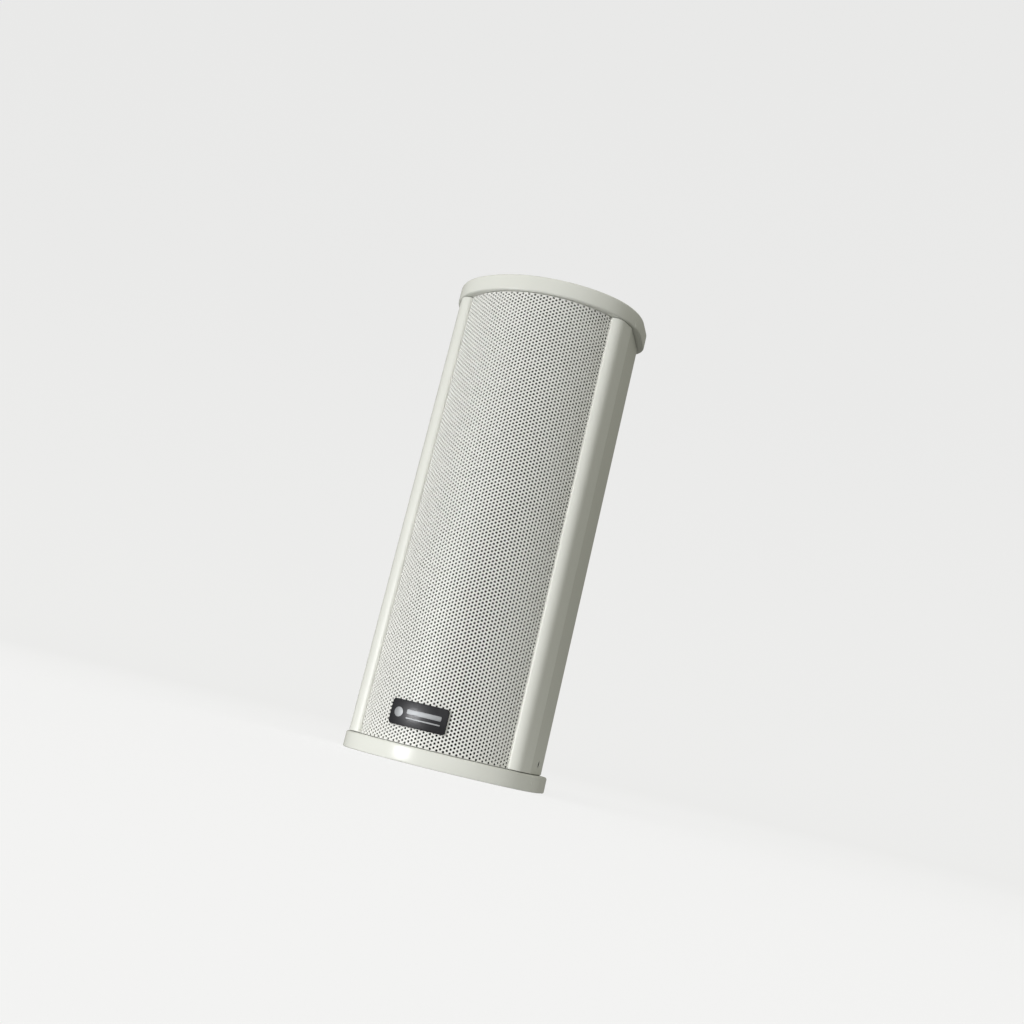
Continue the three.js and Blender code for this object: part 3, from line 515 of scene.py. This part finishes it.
def powder_coat(name, colour, specular):
    """Satin powder coat: orange peel about 1.6 mm across over a finer grain."""
    finish = Finish(name, specular=specular)
    finish.colour(finish.noise(22, 5), *shades(colour, 0.02))
    finish.roughness(finish.noise(3), 0.34, 0.46)
    finish.bump(finish.noise(1.6, 2), 0.012)
    finish.bump(finish.noise(0.35, 1), 0.003)
    return finish.material


def cap_plastic():
    """Moulded ABS with a fine spark-eroded grain and faint flow marks."""
    finish = Finish("cap_plastic", specular=0.3)
    finish.colour(finish.noise(30, 4, (1, 1, 0.3)), *shades((0.79, 0.80, 0.745), 0.022))
    finish.roughness(finish.noise(2.4), 0.2, 0.27)
    finish.bump(finish.cells(0.45), 0.004)
    finish.bump(finish.noise(5, 2), 0.012)
    return finish.material


def woven(name, dark, light, pitch, height):
    """Plain weave: two crossing sets of threads."""
    finish = Finish(name, specular=0.2)
    across = finish.wave(X, pitch, 0.2)
    along = finish.wave(Z, pitch, 0.2)
    threads = finish.product(across, along)
    finish.colour(threads, dark, light)
    finish.roughness(finish.noise(1.2), 0.85, 1.0)
    finish.bump(threads, height)
    return finish.material


def black_gloss():
    """Polished black acrylic with slight haze and a fine fleck."""
    finish = Finish("black_gloss", specular=0.3, coat=0.1)
    finish.colour(finish.noise(0.5, 2), (0.010, 0.010, 0.012), (0.022, 0.022, 0.026))
    finish.roughness(finish.noise(6, 4), 0.3, 0.42)
    finish.bump(finish.noise(4, 2), 0.004)
    return finish.material


def grained(name, colour, swing, size, rough, height, metallic=0.0, stretch=(1, 1, 1), specular=0.4):
    """A finish with one grain size, for moulded rubber and plastic, castings and plain steel."""
    finish = Finish(name, metallic=metallic, specular=specular)
    grain = finish.noise(size, 4, stretch)
    finish.colour(finish.noise(size * 9, 3), *shades(colour, swing))
    finish.roughness(grain, *rough)
    finish.bump(grain, height)
    return finish.material


def banded(name, axis, pitch, dark, light, rough, height, metallic=0.0):
    """Fine parallel bands, for windings, tape and laminations."""
    finish = Finish(name, metallic=metallic, specular=0.4)
    bands = finish.wave(axis, pitch, 0.1)
    finish.colour(bands, dark, light)
    finish.roughness(finish.noise(1.5), *rough)
    finish.bump(bands, height)
    return finish.material


FINISHES = {
    "housing_paint": powder_coat("housing_paint", (0.80, 0.81, 0.755), 0.5),
    "grille_paint": powder_coat("grille_paint", (0.88, 0.88, 0.845), 0.22),
    "cap_plastic": cap_plastic(),
    "black_cloth": woven("black_cloth", (0.006, 0.006, 0.007), (0.03, 0.03, 0.03), 0.6, 0.08),
    "black_gloss": black_gloss(),
    "rubber": grained("rubber", (0.018, 0.018, 0.018), 0.25, 0.5, (0.75, 0.95), 0.02),
    "gasket": grained("gasket", (0.28, 0.28, 0.262), 0.2, 0.4, (0.8, 0.95), 0.03),
    "black_steel": grained(
        "black_steel", (0.012, 0.012, 0.013), 0.3, 0.4, (0.6, 0.8), 0.008, specular=0.12
    ),
    "baffle_board": grained("baffle_board", (0.08, 0.07, 0.06), 0.3, 0.8, (0.7, 0.9), 0.05),
    "basket_paint": grained("basket_paint", (0.03, 0.03, 0.035), 0.2, 0.7, (0.4, 0.6), 0.01, 0.3),
    "cone_paper": grained("cone_paper", (0.05, 0.05, 0.047), 0.35, 0.5, (0.8, 0.95), 0.04),
    "spider_cloth": woven("spider_cloth", (0.35, 0.2, 0.05), (0.6, 0.38, 0.12), 0.5, 0.06),
    "copper": banded("copper", Y, 0.25, (0.5, 0.2, 0.08), (0.85, 0.45, 0.24), (0.25, 0.4), 0.03, 1.0),
    "bright_steel": grained(
        "bright_steel", (0.62, 0.63, 0.65), 0.08, 0.6, (0.22, 0.38), 0.003, 1.0, (1, 1, 6)
    ),
    "ferrite": grained("ferrite", (0.06, 0.06, 0.065), 0.2, 0.6, (0.55, 0.8), 0.02),
    "core_steel": banded(
        "core_steel", X, 0.5, (0.06, 0.06, 0.065), (0.2, 0.2, 0.21), (0.4, 0.6), 0.03, 0.8
    ),
    "winding_tape": banded("winding_tape", Z, 6, (0.5, 0.34, 0.03), (0.66, 0.5, 0.08), (0.3, 0.5), 0.05),
    "black_plastic": grained("black_plastic", (0.03, 0.03, 0.032), 0.15, 0.35, (0.45, 0.62), 0.012),
    "lead_sleeve": grained("lead_sleeve", (0.03, 0.03, 0.03), 0.2, 1.5, (0.4, 0.55), 0.01),
}


def silver_foil():
    """Brushed silver, with its brush lines across the badge."""
    finish = Finish("silver_foil", metallic=0.4)
    brush = finish.noise(0.3, 3, (12, 12, 1))
    finish.colour(brush, (0.27, 0.28, 0.29), (0.4, 0.41, 0.42))
    finish.roughness(brush, 0.4, 0.55)
    finish.bump(brush, 0.004)
    return finish.material


def dress_cad_nodes():
    """Every CAD node takes the procedural finish of its material slot."""
    slots = {part["node"]: part["material_slot"] for part in frame["record"]["subparts"]}
    for name, node in frame["nodes"].items():
        for place in node.material_slots:
            place.material = FINISHES[slots[name]]


# ---------------------------------------------------------------- housing
def housing():
    """The aluminium extrusion, with rolled rims beside the grille and creases along its sides."""
    shell = prism("housing", open_section(0, WALL), HOUSING_LOW, HOUSING_HIGH)
    crease = rim_curve(0)[-1]
    round_upright_edges(shell, [(s * crease[0], crease[1]) for s in SIDES], CREASE_REACH, 3)
    height = (HOUSING_LOW, HOUSING_HIGH)
    joins, cuts = [], []
    screws = [name for name in frame["nodes"] if name.startswith("top_cap_screw")]
    ports = [(middle(name, X), middle(name, Y)) for name in screws]
    baffle_front, baffle_back = span("baffle", Y)
    for side in SIDES:
        joins.append(block("web", sorted(side * x for x in WEB), WEB_Y, height))
        ledge = window_band(*LEDGE_HALF_WIDTHS, LEDGE_DEPTHS, 6)
        joins.append(prism("ledge", [(side * x, y) for x, y in ledge], *height))
        for rib, near, away in ((FRONT_RIB, baffle_front, -1), (BACK_RIB, baffle_back, 1)):
            face = near + away * BAFFLE_CLEARANCE
            across = sorted(side * x for x in rib)
            joins.append(block("rib", across, sorted((face, face + away * RIB_THICKNESS)), height))
        hole = (0, middle("side_screw_left", Y), middle("side_screw_left", Z))
        inside, outside = HOUSING_HALF_WIDTH - WALL - CUT_MARGIN, HOUSING_HALF_WIDTH + CUT_MARGIN
        reach = sorted((side * inside, side * outside))
        cuts.append(rod("hole", SIDE_HOLE_RADIUS, *reach, X, hole))
    for x, y in ports:
        joins.append(rod("port", PORT_RADIUS, *height, Z, (x, y, 0)))
        bore = (HOUSING_LOW - CUT_MARGIN, HOUSING_HIGH + CUT_MARGIN)
        cuts.append(rod("bore", PORT_BORE, *bore, Z, (x, y, 0), 20))
    through = (HOUSING_REAR - WALL - CUT_MARGIN, HOUSING_REAR + CUT_MARGIN)
    for name, radius in (
        ("mounting_insert_lower", INSERT_HOLE_RADIUS),
        ("mounting_insert_upper", INSERT_HOLE_RADIUS),
        ("transformer_screw_lower", PORT_BORE),
        ("transformer_screw_upper", PORT_BORE),
        ("terminal_screw_left", PORT_BORE),
        ("terminal_screw_right", PORT_BORE),
    ):
        cuts.append(rod("hole", radius, *through, Y, (middle(name, X), 0, middle(name, Z))))
    window_x, window_z = TERMINAL_WINDOW
    z = middle("terminal_block", Z)
    cuts.append(block("window", (-window_x, window_x), through, (z - window_z, z + window_z)))
    combine(shell, joins, "UNION")
    combine(shell, cuts, "DIFFERENCE")
    return finish_piece(shell, "housing_paint", ["housing_shell"], sharp=25)


def seal(name):
    """The gasket between the housing and a cap."""
    low, high = span(name, Z)
    piece = prism(name + "_gasket", open_section(SEAL_INSET, WALL, SEAL_TRIM), low, high)
    return finish_piece(piece, "gasket", [name])


# ---------------------------------------------------------------- end caps
def rounded_wall(low, high, low_radius, high_radius, steps=6):
    """(inset, height) points up a wall whose two edges are rounded."""
    points = []
    for i in range(steps + 1):
        angle = math.pi / 2 * i / steps
        inset = low_radius * (1 - math.sin(angle))
        points.append((inset, low + low_radius * (1 - math.cos(angle))))
    for i in range(steps + 1):
        angle = math.pi / 2 * i / steps
        inset = high_radius * (1 - math.cos(angle))
        points.append((inset, high - high_radius * (1 - math.sin(angle))))
    return points


def end_cap(name):
    """A moulded cap with a pocket inside it, screw recesses, two side lugs and a rear lug."""
    top = name == "top_cap"
    direction = 1 if top else -1
    inner, outer = (TOP_CAP_BOTTOM, HEIGHT) if top else (BOTTOM_CAP_TOP, 0)
    edges = (CAP_INNER_EDGE, TOP_CAP_OUTER_EDGE) if top else (BOTTOM_CAP_OUTER_EDGE, CAP_INNER_EDGE)
    levels = rounded_wall(min(inner, outer), max(inner, outer), *edges)
    cap = loft(name + "_moulding", [[(x, y, z) for x, y in cap_outline(inset)] for inset, z in levels])

    def reach(a, b):
        return sorted((a, b))

    floor = inner + direction * CAP_POCKET_DEPTH
    pocket = prism("pocket", pocket_outline(), *reach(inner - direction, floor))
    lug_root = inner + direction
    lug_y = middle("side_screw_left", Y)
    rear_lug = reach(inner - direction * REAR_LUG_REACH, lug_root)
    lugs = [block("lug", (-REAR_LUG_HALF_WIDTH, REAR_LUG_HALF_WIDTH), REAR_LUG_Y, rear_lug)]
    side_lug = reach(inner - direction * SIDE_LUG_REACH, lug_root)
    for side in SIDES:
        across = sorted(side * x for x in SIDE_LUG_X)
        along = (lug_y - SIDE_LUG_HALF_LENGTH, lug_y + SIDE_LUG_HALF_LENGTH)
        lugs.append(block("lug", across, along, side_lug))
    seam_x = SHOULDER_X + SHOULDER_RADIUS * math.sin(CAP_SEAM_ANGLE)
    seam_y = SHOULDER_Y - SHOULDER_RADIUS * math.cos(CAP_SEAM_ANGLE)
    seam = reach(inner - direction, inner + direction * CAP_SEAM_LENGTH)
    cuts = [rod("seam", CAP_SEAM_RADIUS, *seam, Z, (s * seam_x, seam_y, 0), 12) for s in SIDES]
    for screw in (n for n in frame["nodes"] if n.startswith(name + "_screw")):
        centre = (middle(screw, X), middle(screw, Y), 0)
        seat = outer - direction * CAP_RECESS_DEPTH
        cuts.append(rod("bore", PORT_BORE, *reach(inner - direction, outer + direction), Z, centre, 20))
        cuts.append(rod("recess", CAP_RECESS_RADIUS, *reach(seat, outer + direction), Z, centre))
    if not top:
        hole = (0, lug_y, middle("side_screw_left", Z))
        for side in SIDES:
            cuts.append(rod("hole", PORT_BORE, *sorted(side * x for x in SIDE_LUG_HOLE_X), X, hole, 20))
    combine(cap, [pocket], "DIFFERENCE")
    combine(cap, lugs, "UNION")
    combine(cap, cuts, "DIFFERENCE")
    return finish_piece(cap, "cap_plastic", [name], sharp=35)


# ---------------------------------------------------------------- grille
def on_front(along, sunk):
    """A point of the window's curve, from the distance along it and the depth below it."""
    angle = along / WINDOW_RADIUS
    reach = WINDOW_RADIUS - sunk
    return reach * math.sin(angle), WINDOW_CENTRE_Y - reach * math.cos(angle)


def front_length(half_width, sunk=0):
    """The distance along the window's curve from the middle out to a half width."""
    return WINDOW_RADIUS * math.asin(half_width / (WINDOW_RADIUS - sunk))


def grille_part(name, first, last):
    """Columns first to last of the perforated sheet. Its holes stand between grid lines, and every other
    column has one hole less and stands half a pitch higher."""
    low, high = span("front_grille", Z)
    edge = front_length(GRILLE_HALF_WIDTH, GRILLE_SUNK)
    alongs = [(i - COLUMNS / 2) * COLUMN_PITCH for i in range(first, last + 2)]
    outer_left, outer_right = first == 0, last == COLUMNS - 1
    alongs = [-edge] * outer_left + alongs + [edge] * outer_right
    rows = int((high - low - 2 * HOLE_MARGIN) / HOLE_PITCH + 1.001)
    margin = (high - low - HOLE_PITCH * (rows - 1)) / 2
    heights = [low + margin + HOLE_PITCH / 2 * i for i in range(2 * rows - 1)]
    heights = [low] + heights + [high]
    vertices, faces = [], []
    for depth in GRILLE_DEPTHS:
        for along in alongs:
            x, y = on_front(along, depth)
            vertices += [(x, y, z) for z in heights]

    def corner(face, i, j):
        return (face * len(alongs) + i) * len(heights) + j

    covered = set()
    for column in range(first, last + 1):
        i = column - first + outer_left
        for row in range(rows - column % 2):
            j = 2 * row + 1 + column % 2
            covered |= {(i, j - 1), (i, j)}
            centre = ((alongs[i] + alongs[i + 1]) / 2, heights[j])
            cell = [(i + 1, j), (i + 1, j + 1), (i, j + 1), (i, j), (i, j - 1), (i + 1, j - 1)]
            add_hole(vertices, faces, centre, [[corner(face, *c) for c in cell] for face in (0, 1)])
    last_i, last_j = len(alongs) - 1, len(heights) - 1
    for i in range(last_i):
        for j in range(last_j):
            if (i, j) not in covered:
                square = [(i, j), (i + 1, j), (i + 1, j + 1), (i, j + 1)]
                faces += [[corner(face, *c) for c in square] for face in (0, 1)]
    rim = [(i, 0) for i in range(last_i)] + [(last_i, j) for j in range(last_j)]
    rim += [(i, last_j) for i in range(last_i, 0, -1)] + [(0, j) for j in range(last_j, 0, -1)]
    for a, b in zip(rim, rim[1:] + rim[:1]):
        faces.append([corner(0, *a), corner(0, *b), corner(1, *b), corner(1, *a)])
    return finish_piece(new_piece(name, vertices, faces), "grille_paint", ["front_grille"])


def add_hole(vertices, faces, centre, cells):
    """One round hole through the sheet; cells are the six corners round it on the front and the back."""
    base = len(vertices)
    for depth in GRILLE_DEPTHS:
        for k in range(HOLE_SIDES):
            angle = 2 * math.pi * k / HOLE_SIDES
            x, y = on_front(centre[0] + HOLE_RADIUS * math.cos(angle), depth)
            vertices.append((x, y, centre[1] + HOLE_RADIUS * math.sin(angle)))

    def hole(face, k):
        return base + face * HOLE_SIDES + k % HOLE_SIDES

    for face, cell in enumerate(cells):
        for k in range(6):
            near, far = cell[k], cell[(k + 1) % 6]
            faces.append([near, hole(face, 2 * k + 1), hole(face, 2 * k)])
            faces.append([near, far, hole(face, 2 * k + 1)])
            faces.append([far, hole(face, 2 * k + 2), hole(face, 2 * k + 1)])
    for k in range(HOLE_SIDES):
        faces.append([hole(0, k), hole(0, k + 1), hole(1, k + 1), hole(1, k)])


def grille():
    """The sheet is made as three meshes that meet at column lines, to keep each one light."""
    parts = ("left", "middle", "right")
    cuts = [round(COLUMNS * i / len(parts)) for i in range(len(parts) + 1)]
    for part, first, end in zip(parts, cuts, cuts[1:]):
        grille_part("grille_" + part, first, end - 1)


def cloth():
    """The acoustic cloth behind the grille."""
    low, high = span("grille_cloth", Z)
    outline = window_band(-GRILLE_HALF_WIDTH, GRILLE_HALF_WIDTH, CLOTH_DEPTHS, 40)
    sheet = prism("acoustic_cloth", outline, low, high)
    return finish_piece(sheet, "black_cloth", ["grille_cloth"])


# ---------------------------------------------------------------- badge
def bent_plate(name, outline, low, high, edge):
    """A flat plate of (along, height) points, with a rounded front edge, bent to the window's curve.
    low and high are heights above that curve."""
    centre = [sum(p[i] for p in outline) / len(outline) for i in (0, 1)]
    reach = [max(abs(p[i] - centre[i]) for p in outline) for i in (0, 1)]
    edge_steps = 3
    rounded_edge = rounded_wall(low, high, 0, edge, edge_steps)[edge_steps + 1 :]
    rings = []
    for inset, rise in [(0, low)] + rounded_edge:
        scale = [(r - inset) / r for r in reach]
        shrunk = [[centre[i] + (p[i] - centre[i]) * scale[i] for i in (0, 1)] for p in outline]
        rings.append([(along, height, rise) for along, height in shrunk])
    piece = loft(name, rings)
    mesh = bmesh.new()
    mesh.from_mesh(piece.data)
    steps = max(2, int(reach[0]))
    for step in range(1, 2 * steps):
        place = (centre[0] - reach[0] + reach[0] * step / steps, 0, 0)
        everything = mesh.verts[:] + mesh.edges[:] + mesh.faces[:]
        bmesh.ops.bisect_plane(mesh, geom=everything, plane_co=place, plane_no=(1, 0, 0))
    for vertex in mesh.verts:
        along, height, rise = vertex.co
        x, y = on_front(along, -rise)
        vertex.co = (x, y, height)
    mesh.to_mesh(piece.data)
    mesh.free()
    return piece


def disc_outline(centre, radius, steps=32):
    angles = [2 * math.pi * i / steps for i in range(steps)]
    return [(centre[0] + radius * math.cos(a), centre[1] + radius * math.sin(a)) for a in angles]


def badge():
    """A glossy black plate with a plain silver disc and two plain bars."""
    left, right = (front_length(x) for x in span("badge", X))
    low, high = span("badge", Z)
    outline = rounded_rectangle((left, right), (low, high), BADGE_CORNER)
    plate_piece = bent_plate("badge_plate", outline, BADGE_BACK, BADGE_FACE, BADGE_EDGE)
    finish_piece(plate_piece, "black_gloss", ["badge"])
    centre_z = (low + high) / 2
    bar = (left + 10, right - 3.2)
    marks = {
        "badge_disc": disc_outline((left + 5.2, centre_z), 2.5),
        "badge_bar": rounded_rectangle(bar, (centre_z - 0.2, centre_z + 2.2), 0.5, 3),
        "badge_line": rounded_rectangle(bar, (centre_z - 2.6, centre_z - 1.9), 0.3, 3),
    }
    for name, mark in marks.items():
        piece = bent_plate(name, mark, BADGE_FACE - MARK_ROOT, BADGE_FACE + MARK_RISE, MARK_EDGE)
        finish_piece(piece, "black_gloss")
        piece.material_slots[0].material = silver_foil()


# ---------------------------------------------------------------- screws
def screw(node, axis, direction):
    """A pan-head screw with a cross recess and a threaded shank, sized and placed by its CAD node.
    direction is 1 where its tip points along the axis, and -1 where it points against it."""
    ends = span(node, axis)
    face, tip = ends if direction > 0 else reversed(ends)
    length = abs(tip - face)
    across = [i for i in (X, Y, Z) if i != axis]
    radius = (span(node, across[0])[1] - span(node, across[0])[0]) / 2
    head = radius * 0.55 + 0.3
    shank, pitch = 1.4, 0.7
    profile = [(0, 0), (radius * 0.45, 0), (radius * 0.78, 0.12), (radius * 0.93, head * 0.3)]
    profile += [(radius, head * 0.62), (radius, head), (shank, head)]
    along = head + pitch
    while along < length - 2:
        profile += [(shank, along), (shank - 0.28, along + pitch / 2)]
        along += pitch
    profile += [(shank, along), (0, length)]
    piece = lathe(node + "_body", profile, 24)
    arm, width, depth = radius * 0.62, radius * 0.13, head * 0.6
    corners = ((-1, -1), (1, -1), (1, 1), (-1, 1))
    mouth = [(sx * (arm + 0.1), sy * (width + 0.03), -0.2) for sx, sy in corners]
    bottom = [(sx * arm * 0.45, sy * width * 0.8, depth) for sx, sy in corners]
    cuts = []
    for angle in (0, math.pi / 2):
        slot = loft("slot", [mouth, bottom])
        slot.data.transform(Matrix.Rotation(angle, 4, "Z"))
        cuts.append(slot)
    combine(piece, cuts, "DIFFERENCE")
    pointing = Vector((0, 0, 0))
    pointing[axis] = direction
    place = Vector([middle(node, i) for i in (X, Y, Z)])
    place[axis] = face
    turn = Vector((0, 0, 1)).rotation_difference(pointing).to_matrix().to_4x4()
    piece.data.transform(Matrix.Translation(place) @ turn)
    return finish_piece(piece, "black_steel", [node], sharp=35)


def screws():
    """Every screw, with its tip pointing inwards."""
    for name in sorted(frame["nodes"]):
        if name.startswith("top_cap_screw"):
            screw(name, Z, -1)
        elif name.startswith("bottom_cap_screw"):
            screw(name, Z, 1)
        elif name.startswith("side_screw"):
            screw(name, X, 1 if name.endswith("left") else -1)
        elif name.startswith("driver_screw"):
            screw(name, Y, 1)
        elif "_screw_" in name:
            screw(name, Y, -1)


# ---------------------------------------------------------------- rear fittings
def threaded_insert(node):
    """A flanged insert with a chamfered mouth and a ridged bore."""
    front, back = span(node, Y)
    flange = (span(node, X)[1] - span(node, X)[0]) / 2
    body, bore, flange_depth = 4.2, 2.6, 0.8
    step = back - flange_depth
    profile = [(bore, front), (body, front), (body, step), (flange, step)]
    profile += [(flange, back - 0.25), (flange - 0.25, back), (bore + 0.5, back), (bore, back - 0.5)]
    for i in range(int(back - front - 1)):
        profile += [(bore + 0.25, back - 1 - i), (bore, back - 1.5 - i)]
    piece = lathe(node + "_body", profile, 48, Y, (middle(node, X), 0, middle(node, Z)))
    return finish_piece(piece, "bright_steel", [node], sharp=35)


def terminal_plate():
    """The cover round the terminal block."""
    x, z = span("terminal_plate", X), span("terminal_plate", Z)
    front, back = span("terminal_plate", Y)
    piece = plate("terminal_cover", rounded_rectangle(x, z, 2.5), front, back)
    centre = middle("terminal_plate", Z)
    through = (front - CUT_MARGIN, back + CUT_MARGIN)
    window_x, window_z = TERMINAL_WINDOW
    opening = rounded_rectangle((-window_x, window_x), (centre - window_z, centre + window_z), 0.8)
    cuts = [plate("window", opening, *through)]
    for screw_node in ("terminal_screw_left", "terminal_screw_right"):
        cuts.append(rod("hole", PORT_BORE, *through, Y, (middle(screw_node, X), 0, centre)))
    combine(piece, cuts, "DIFFERENCE")
    soften(piece, 0.25)
    return finish_piece(piece, "black_plastic", ["terminal_plate"])


TERMINAL_PITCH = 7.5
WELL_RISE = 1.6


def terminal_block():
    """Four wire entries between low walls, each with a slotted clamp screw in its well."""
    x, z = span("terminal_block", X), span("terminal_block", Z)
    front, back = span("terminal_block", Y)
    face = back - 2
    centre = middle("terminal_block", Z)
    piece = plate("terminal_strip", rounded_rectangle(x, z, 0.6), front, face)
    walls = []
    for place in (TERMINAL_PITCH * i for i in (-2, -1, 0, 1, 2)):
        outline = rounded_rectangle((place - 0.6, place + 0.6), z, 0.3, 2)
        walls.append(plate("wall", outline, face - 1, back))
    ways = [TERMINAL_PITCH * i for i in (-1.5, -0.5, 0.5, 1.5)]
    cuts = []
    for place in ways:
        cuts.append(rod("well", 2.4, face - 4, face + 1, Y, (place, 0, centre + WELL_RISE)))
        entry = rounded_rectangle((place - 1.6, place + 1.6), (centre - 5, centre - 2), 0.5, 3)
        cuts.append(plate("entry", entry, face - 6, face + 1))
    combine(piece, walls, "UNION")
    combine(piece, cuts, "DIFFERENCE")
    finish_piece(piece, "black_plastic", ["terminal_block"])
    for number, place in enumerate(ways, 1):
        clamp_screw(f"clamp_screw_{number}", (place, 0, centre + WELL_RISE), face - 3.9)


def clamp_screw(name, centre, floor):
    """A slotted clamp screw whose head starts at a floor and faces the rear."""
    profile = [(0, floor), (2, floor), (2, floor + 1.9), (1.75, floor + 2.2), (0, floor + 2.2)]
    piece = lathe(name, profile, 32, Y, centre)
    slot = block("slot", (-2.5, 2.5), (floor + 1.3, floor + 3), (centre[Z] - 0.3, centre[Z] + 0.3))
    slot.data.transform(Matrix.Translation((centre[X], 0, 0)))
    combine(piece, [slot], "DIFFERENCE")
    return finish_piece(piece, "bright_steel")


# ---------------------------------------------------------------- studio
def floor_and_backdrop():
    """A pale floor that curves up into a pale wall all round. It doesn't throw light on the object."""
    radius, bend, wall_height = 1.6, 1.2, 4
    steps, bend_steps = 72, 12
    profile = [(0, 0), (radius, 0)]
    for i in range(1, bend_steps + 1):
        angle = math.pi / 2 * i / bend_steps
        profile.append((radius + bend * math.sin(angle), bend * (1 - math.cos(angle))))
    profile.append((radius + bend, wall_height))
    vertices, faces = [(0, 0, 0)], []
    for distance, height in profile[1:]:
        for i in range(steps):
            angle = 2 * math.pi * i / steps
            vertices.append((distance * math.cos(angle), distance * math.sin(angle), height))
    for i in range(steps):
        j = (i + 1) % steps
        faces.append((0, 1 + i, 1 + j))
        for level in range(len(profile) - 2):
            low, high = 1 + level * steps, 1 + (level + 1) * steps
            faces.append((low + i, high + i, high + j, low + j))
    backdrop = new_piece("backdrop", vertices, faces)
    backdrop.data.shade_smooth()
    backdrop.data.materials.append(backdrop_finish())
    backdrop.visible_diffuse = False
    backdrop.visible_glossy = False
    backdrop.visible_shadow = False


def backdrop_finish():
    """Matt white paper, faintly mottled and bright in itself so that its far end doesn't fall dark."""
    finish = Finish("backdrop_paper", specular=0.0)
    finish.colour(finish.noise(400, 2), (0.26, 0.26, 0.265), (0.28, 0.28, 0.285))
    finish.shader.inputs["Roughness"].default_value = 1
    finish.shader.inputs["Emission Color"].default_value = (1, 1, 1, 1)
    finish.shader.inputs["Emission Strength"].default_value = BACKDROP_GLOW
    return finish.material


BACKDROP_GLOW = 0.74
WORLD_LIGHT_BELOW = 0.06
WORLD_LIGHT_ABOVE = 0.38
WORLD_TINT = (1, 1, 0.86, 1)
LAMP_TINT = (1, 1, 1.02)
# Azimuth from the front towards +X and elevation in degrees, distance and size in metres, power in watts.
SOFTBOXES = {
    "key": (-34, -4, 1.5, 0.36, 12.6),
    "front_fill": (14, 15, 1.5, 1.2, 4.3),
    "left_fill": (-80, 10, 1.3, 0.6, 1),
    "top": (10, 75, 1.3, 0.8, 2),
    "floor_bounce": (0, -90, 0.16, 0.3, 0.1),
}
# The softboxes that show as highlights; the others only brighten.
GLINTING = ("key", "front_fill", "top")


def add_softbox(name, azimuth, elevation, distance, size, power):
    """A square light that faces the middle of the column."""
    light = bpy.data.objects.new(name, bpy.data.lights.new(name, "AREA"))
    light.data.size = size
    light.data.energy = power
    light.data.color = LAMP_TINT
    light.visible_camera = False
    light.visible_glossy = name in GLINTING
    azimuth, elevation = math.radians(azimuth), math.radians(elevation)
    away = Vector((
        math.sin(azimuth) * math.cos(elevation),
        -math.cos(azimuth) * math.cos(elevation),
        math.sin(elevation),
    ))
    light.location = Vector((0, 0, HEIGHT / 2 * MM)) + away * distance
    light.rotation_euler = (-away).to_track_quat("-Z", "Y").to_euler()
    bpy.context.scene.collection.objects.link(light)


def add_world():
    """Faint light from all round, which grows from below to above."""
    world = bpy.data.worlds.new("studio")
    world.use_nodes = True
    nodes, links = world.node_tree.nodes, world.node_tree.links
    direction = nodes.new("ShaderNodeTexCoord").outputs["Generated"]
    split = nodes.new("ShaderNodeSeparateXYZ")
    strength = nodes.new("ShaderNodeMapRange")
    strength.inputs["From Min"].default_value = -1
    strength.inputs["From Max"].default_value = 1
    strength.inputs["To Min"].default_value = WORLD_LIGHT_BELOW
    strength.inputs["To Max"].default_value = WORLD_LIGHT_ABOVE
    background = nodes["Background"]
    background.inputs["Color"].default_value = WORLD_TINT
    links.new(direction, split.inputs["Vector"])
    links.new(split.outputs["Z"], strength.inputs["Value"])
    links.new(strength.outputs["Result"], background.inputs["Strength"])
    bpy.context.scene.world = world


def add_studio():
    bpy.context.scene.view_settings.view_transform = "Standard"
    add_world()
    floor_and_backdrop()
    for name, settings in SOFTBOXES.items():
        add_softbox(name, *settings)


# ---------------------------------------------------------------- assembly
add_camera()
add_studio()
dress_cad_nodes()
housing()
for seal_name in ("top_seal", "bottom_seal"):
    seal(seal_name)
for cap_name in ("top_cap", "bottom_cap"):
    end_cap(cap_name)
grille()
cloth()
badge()
screws()
for insert_name in ("mounting_insert_lower", "mounting_insert_upper"):
    threaded_insert(insert_name)
terminal_plate()
terminal_block()
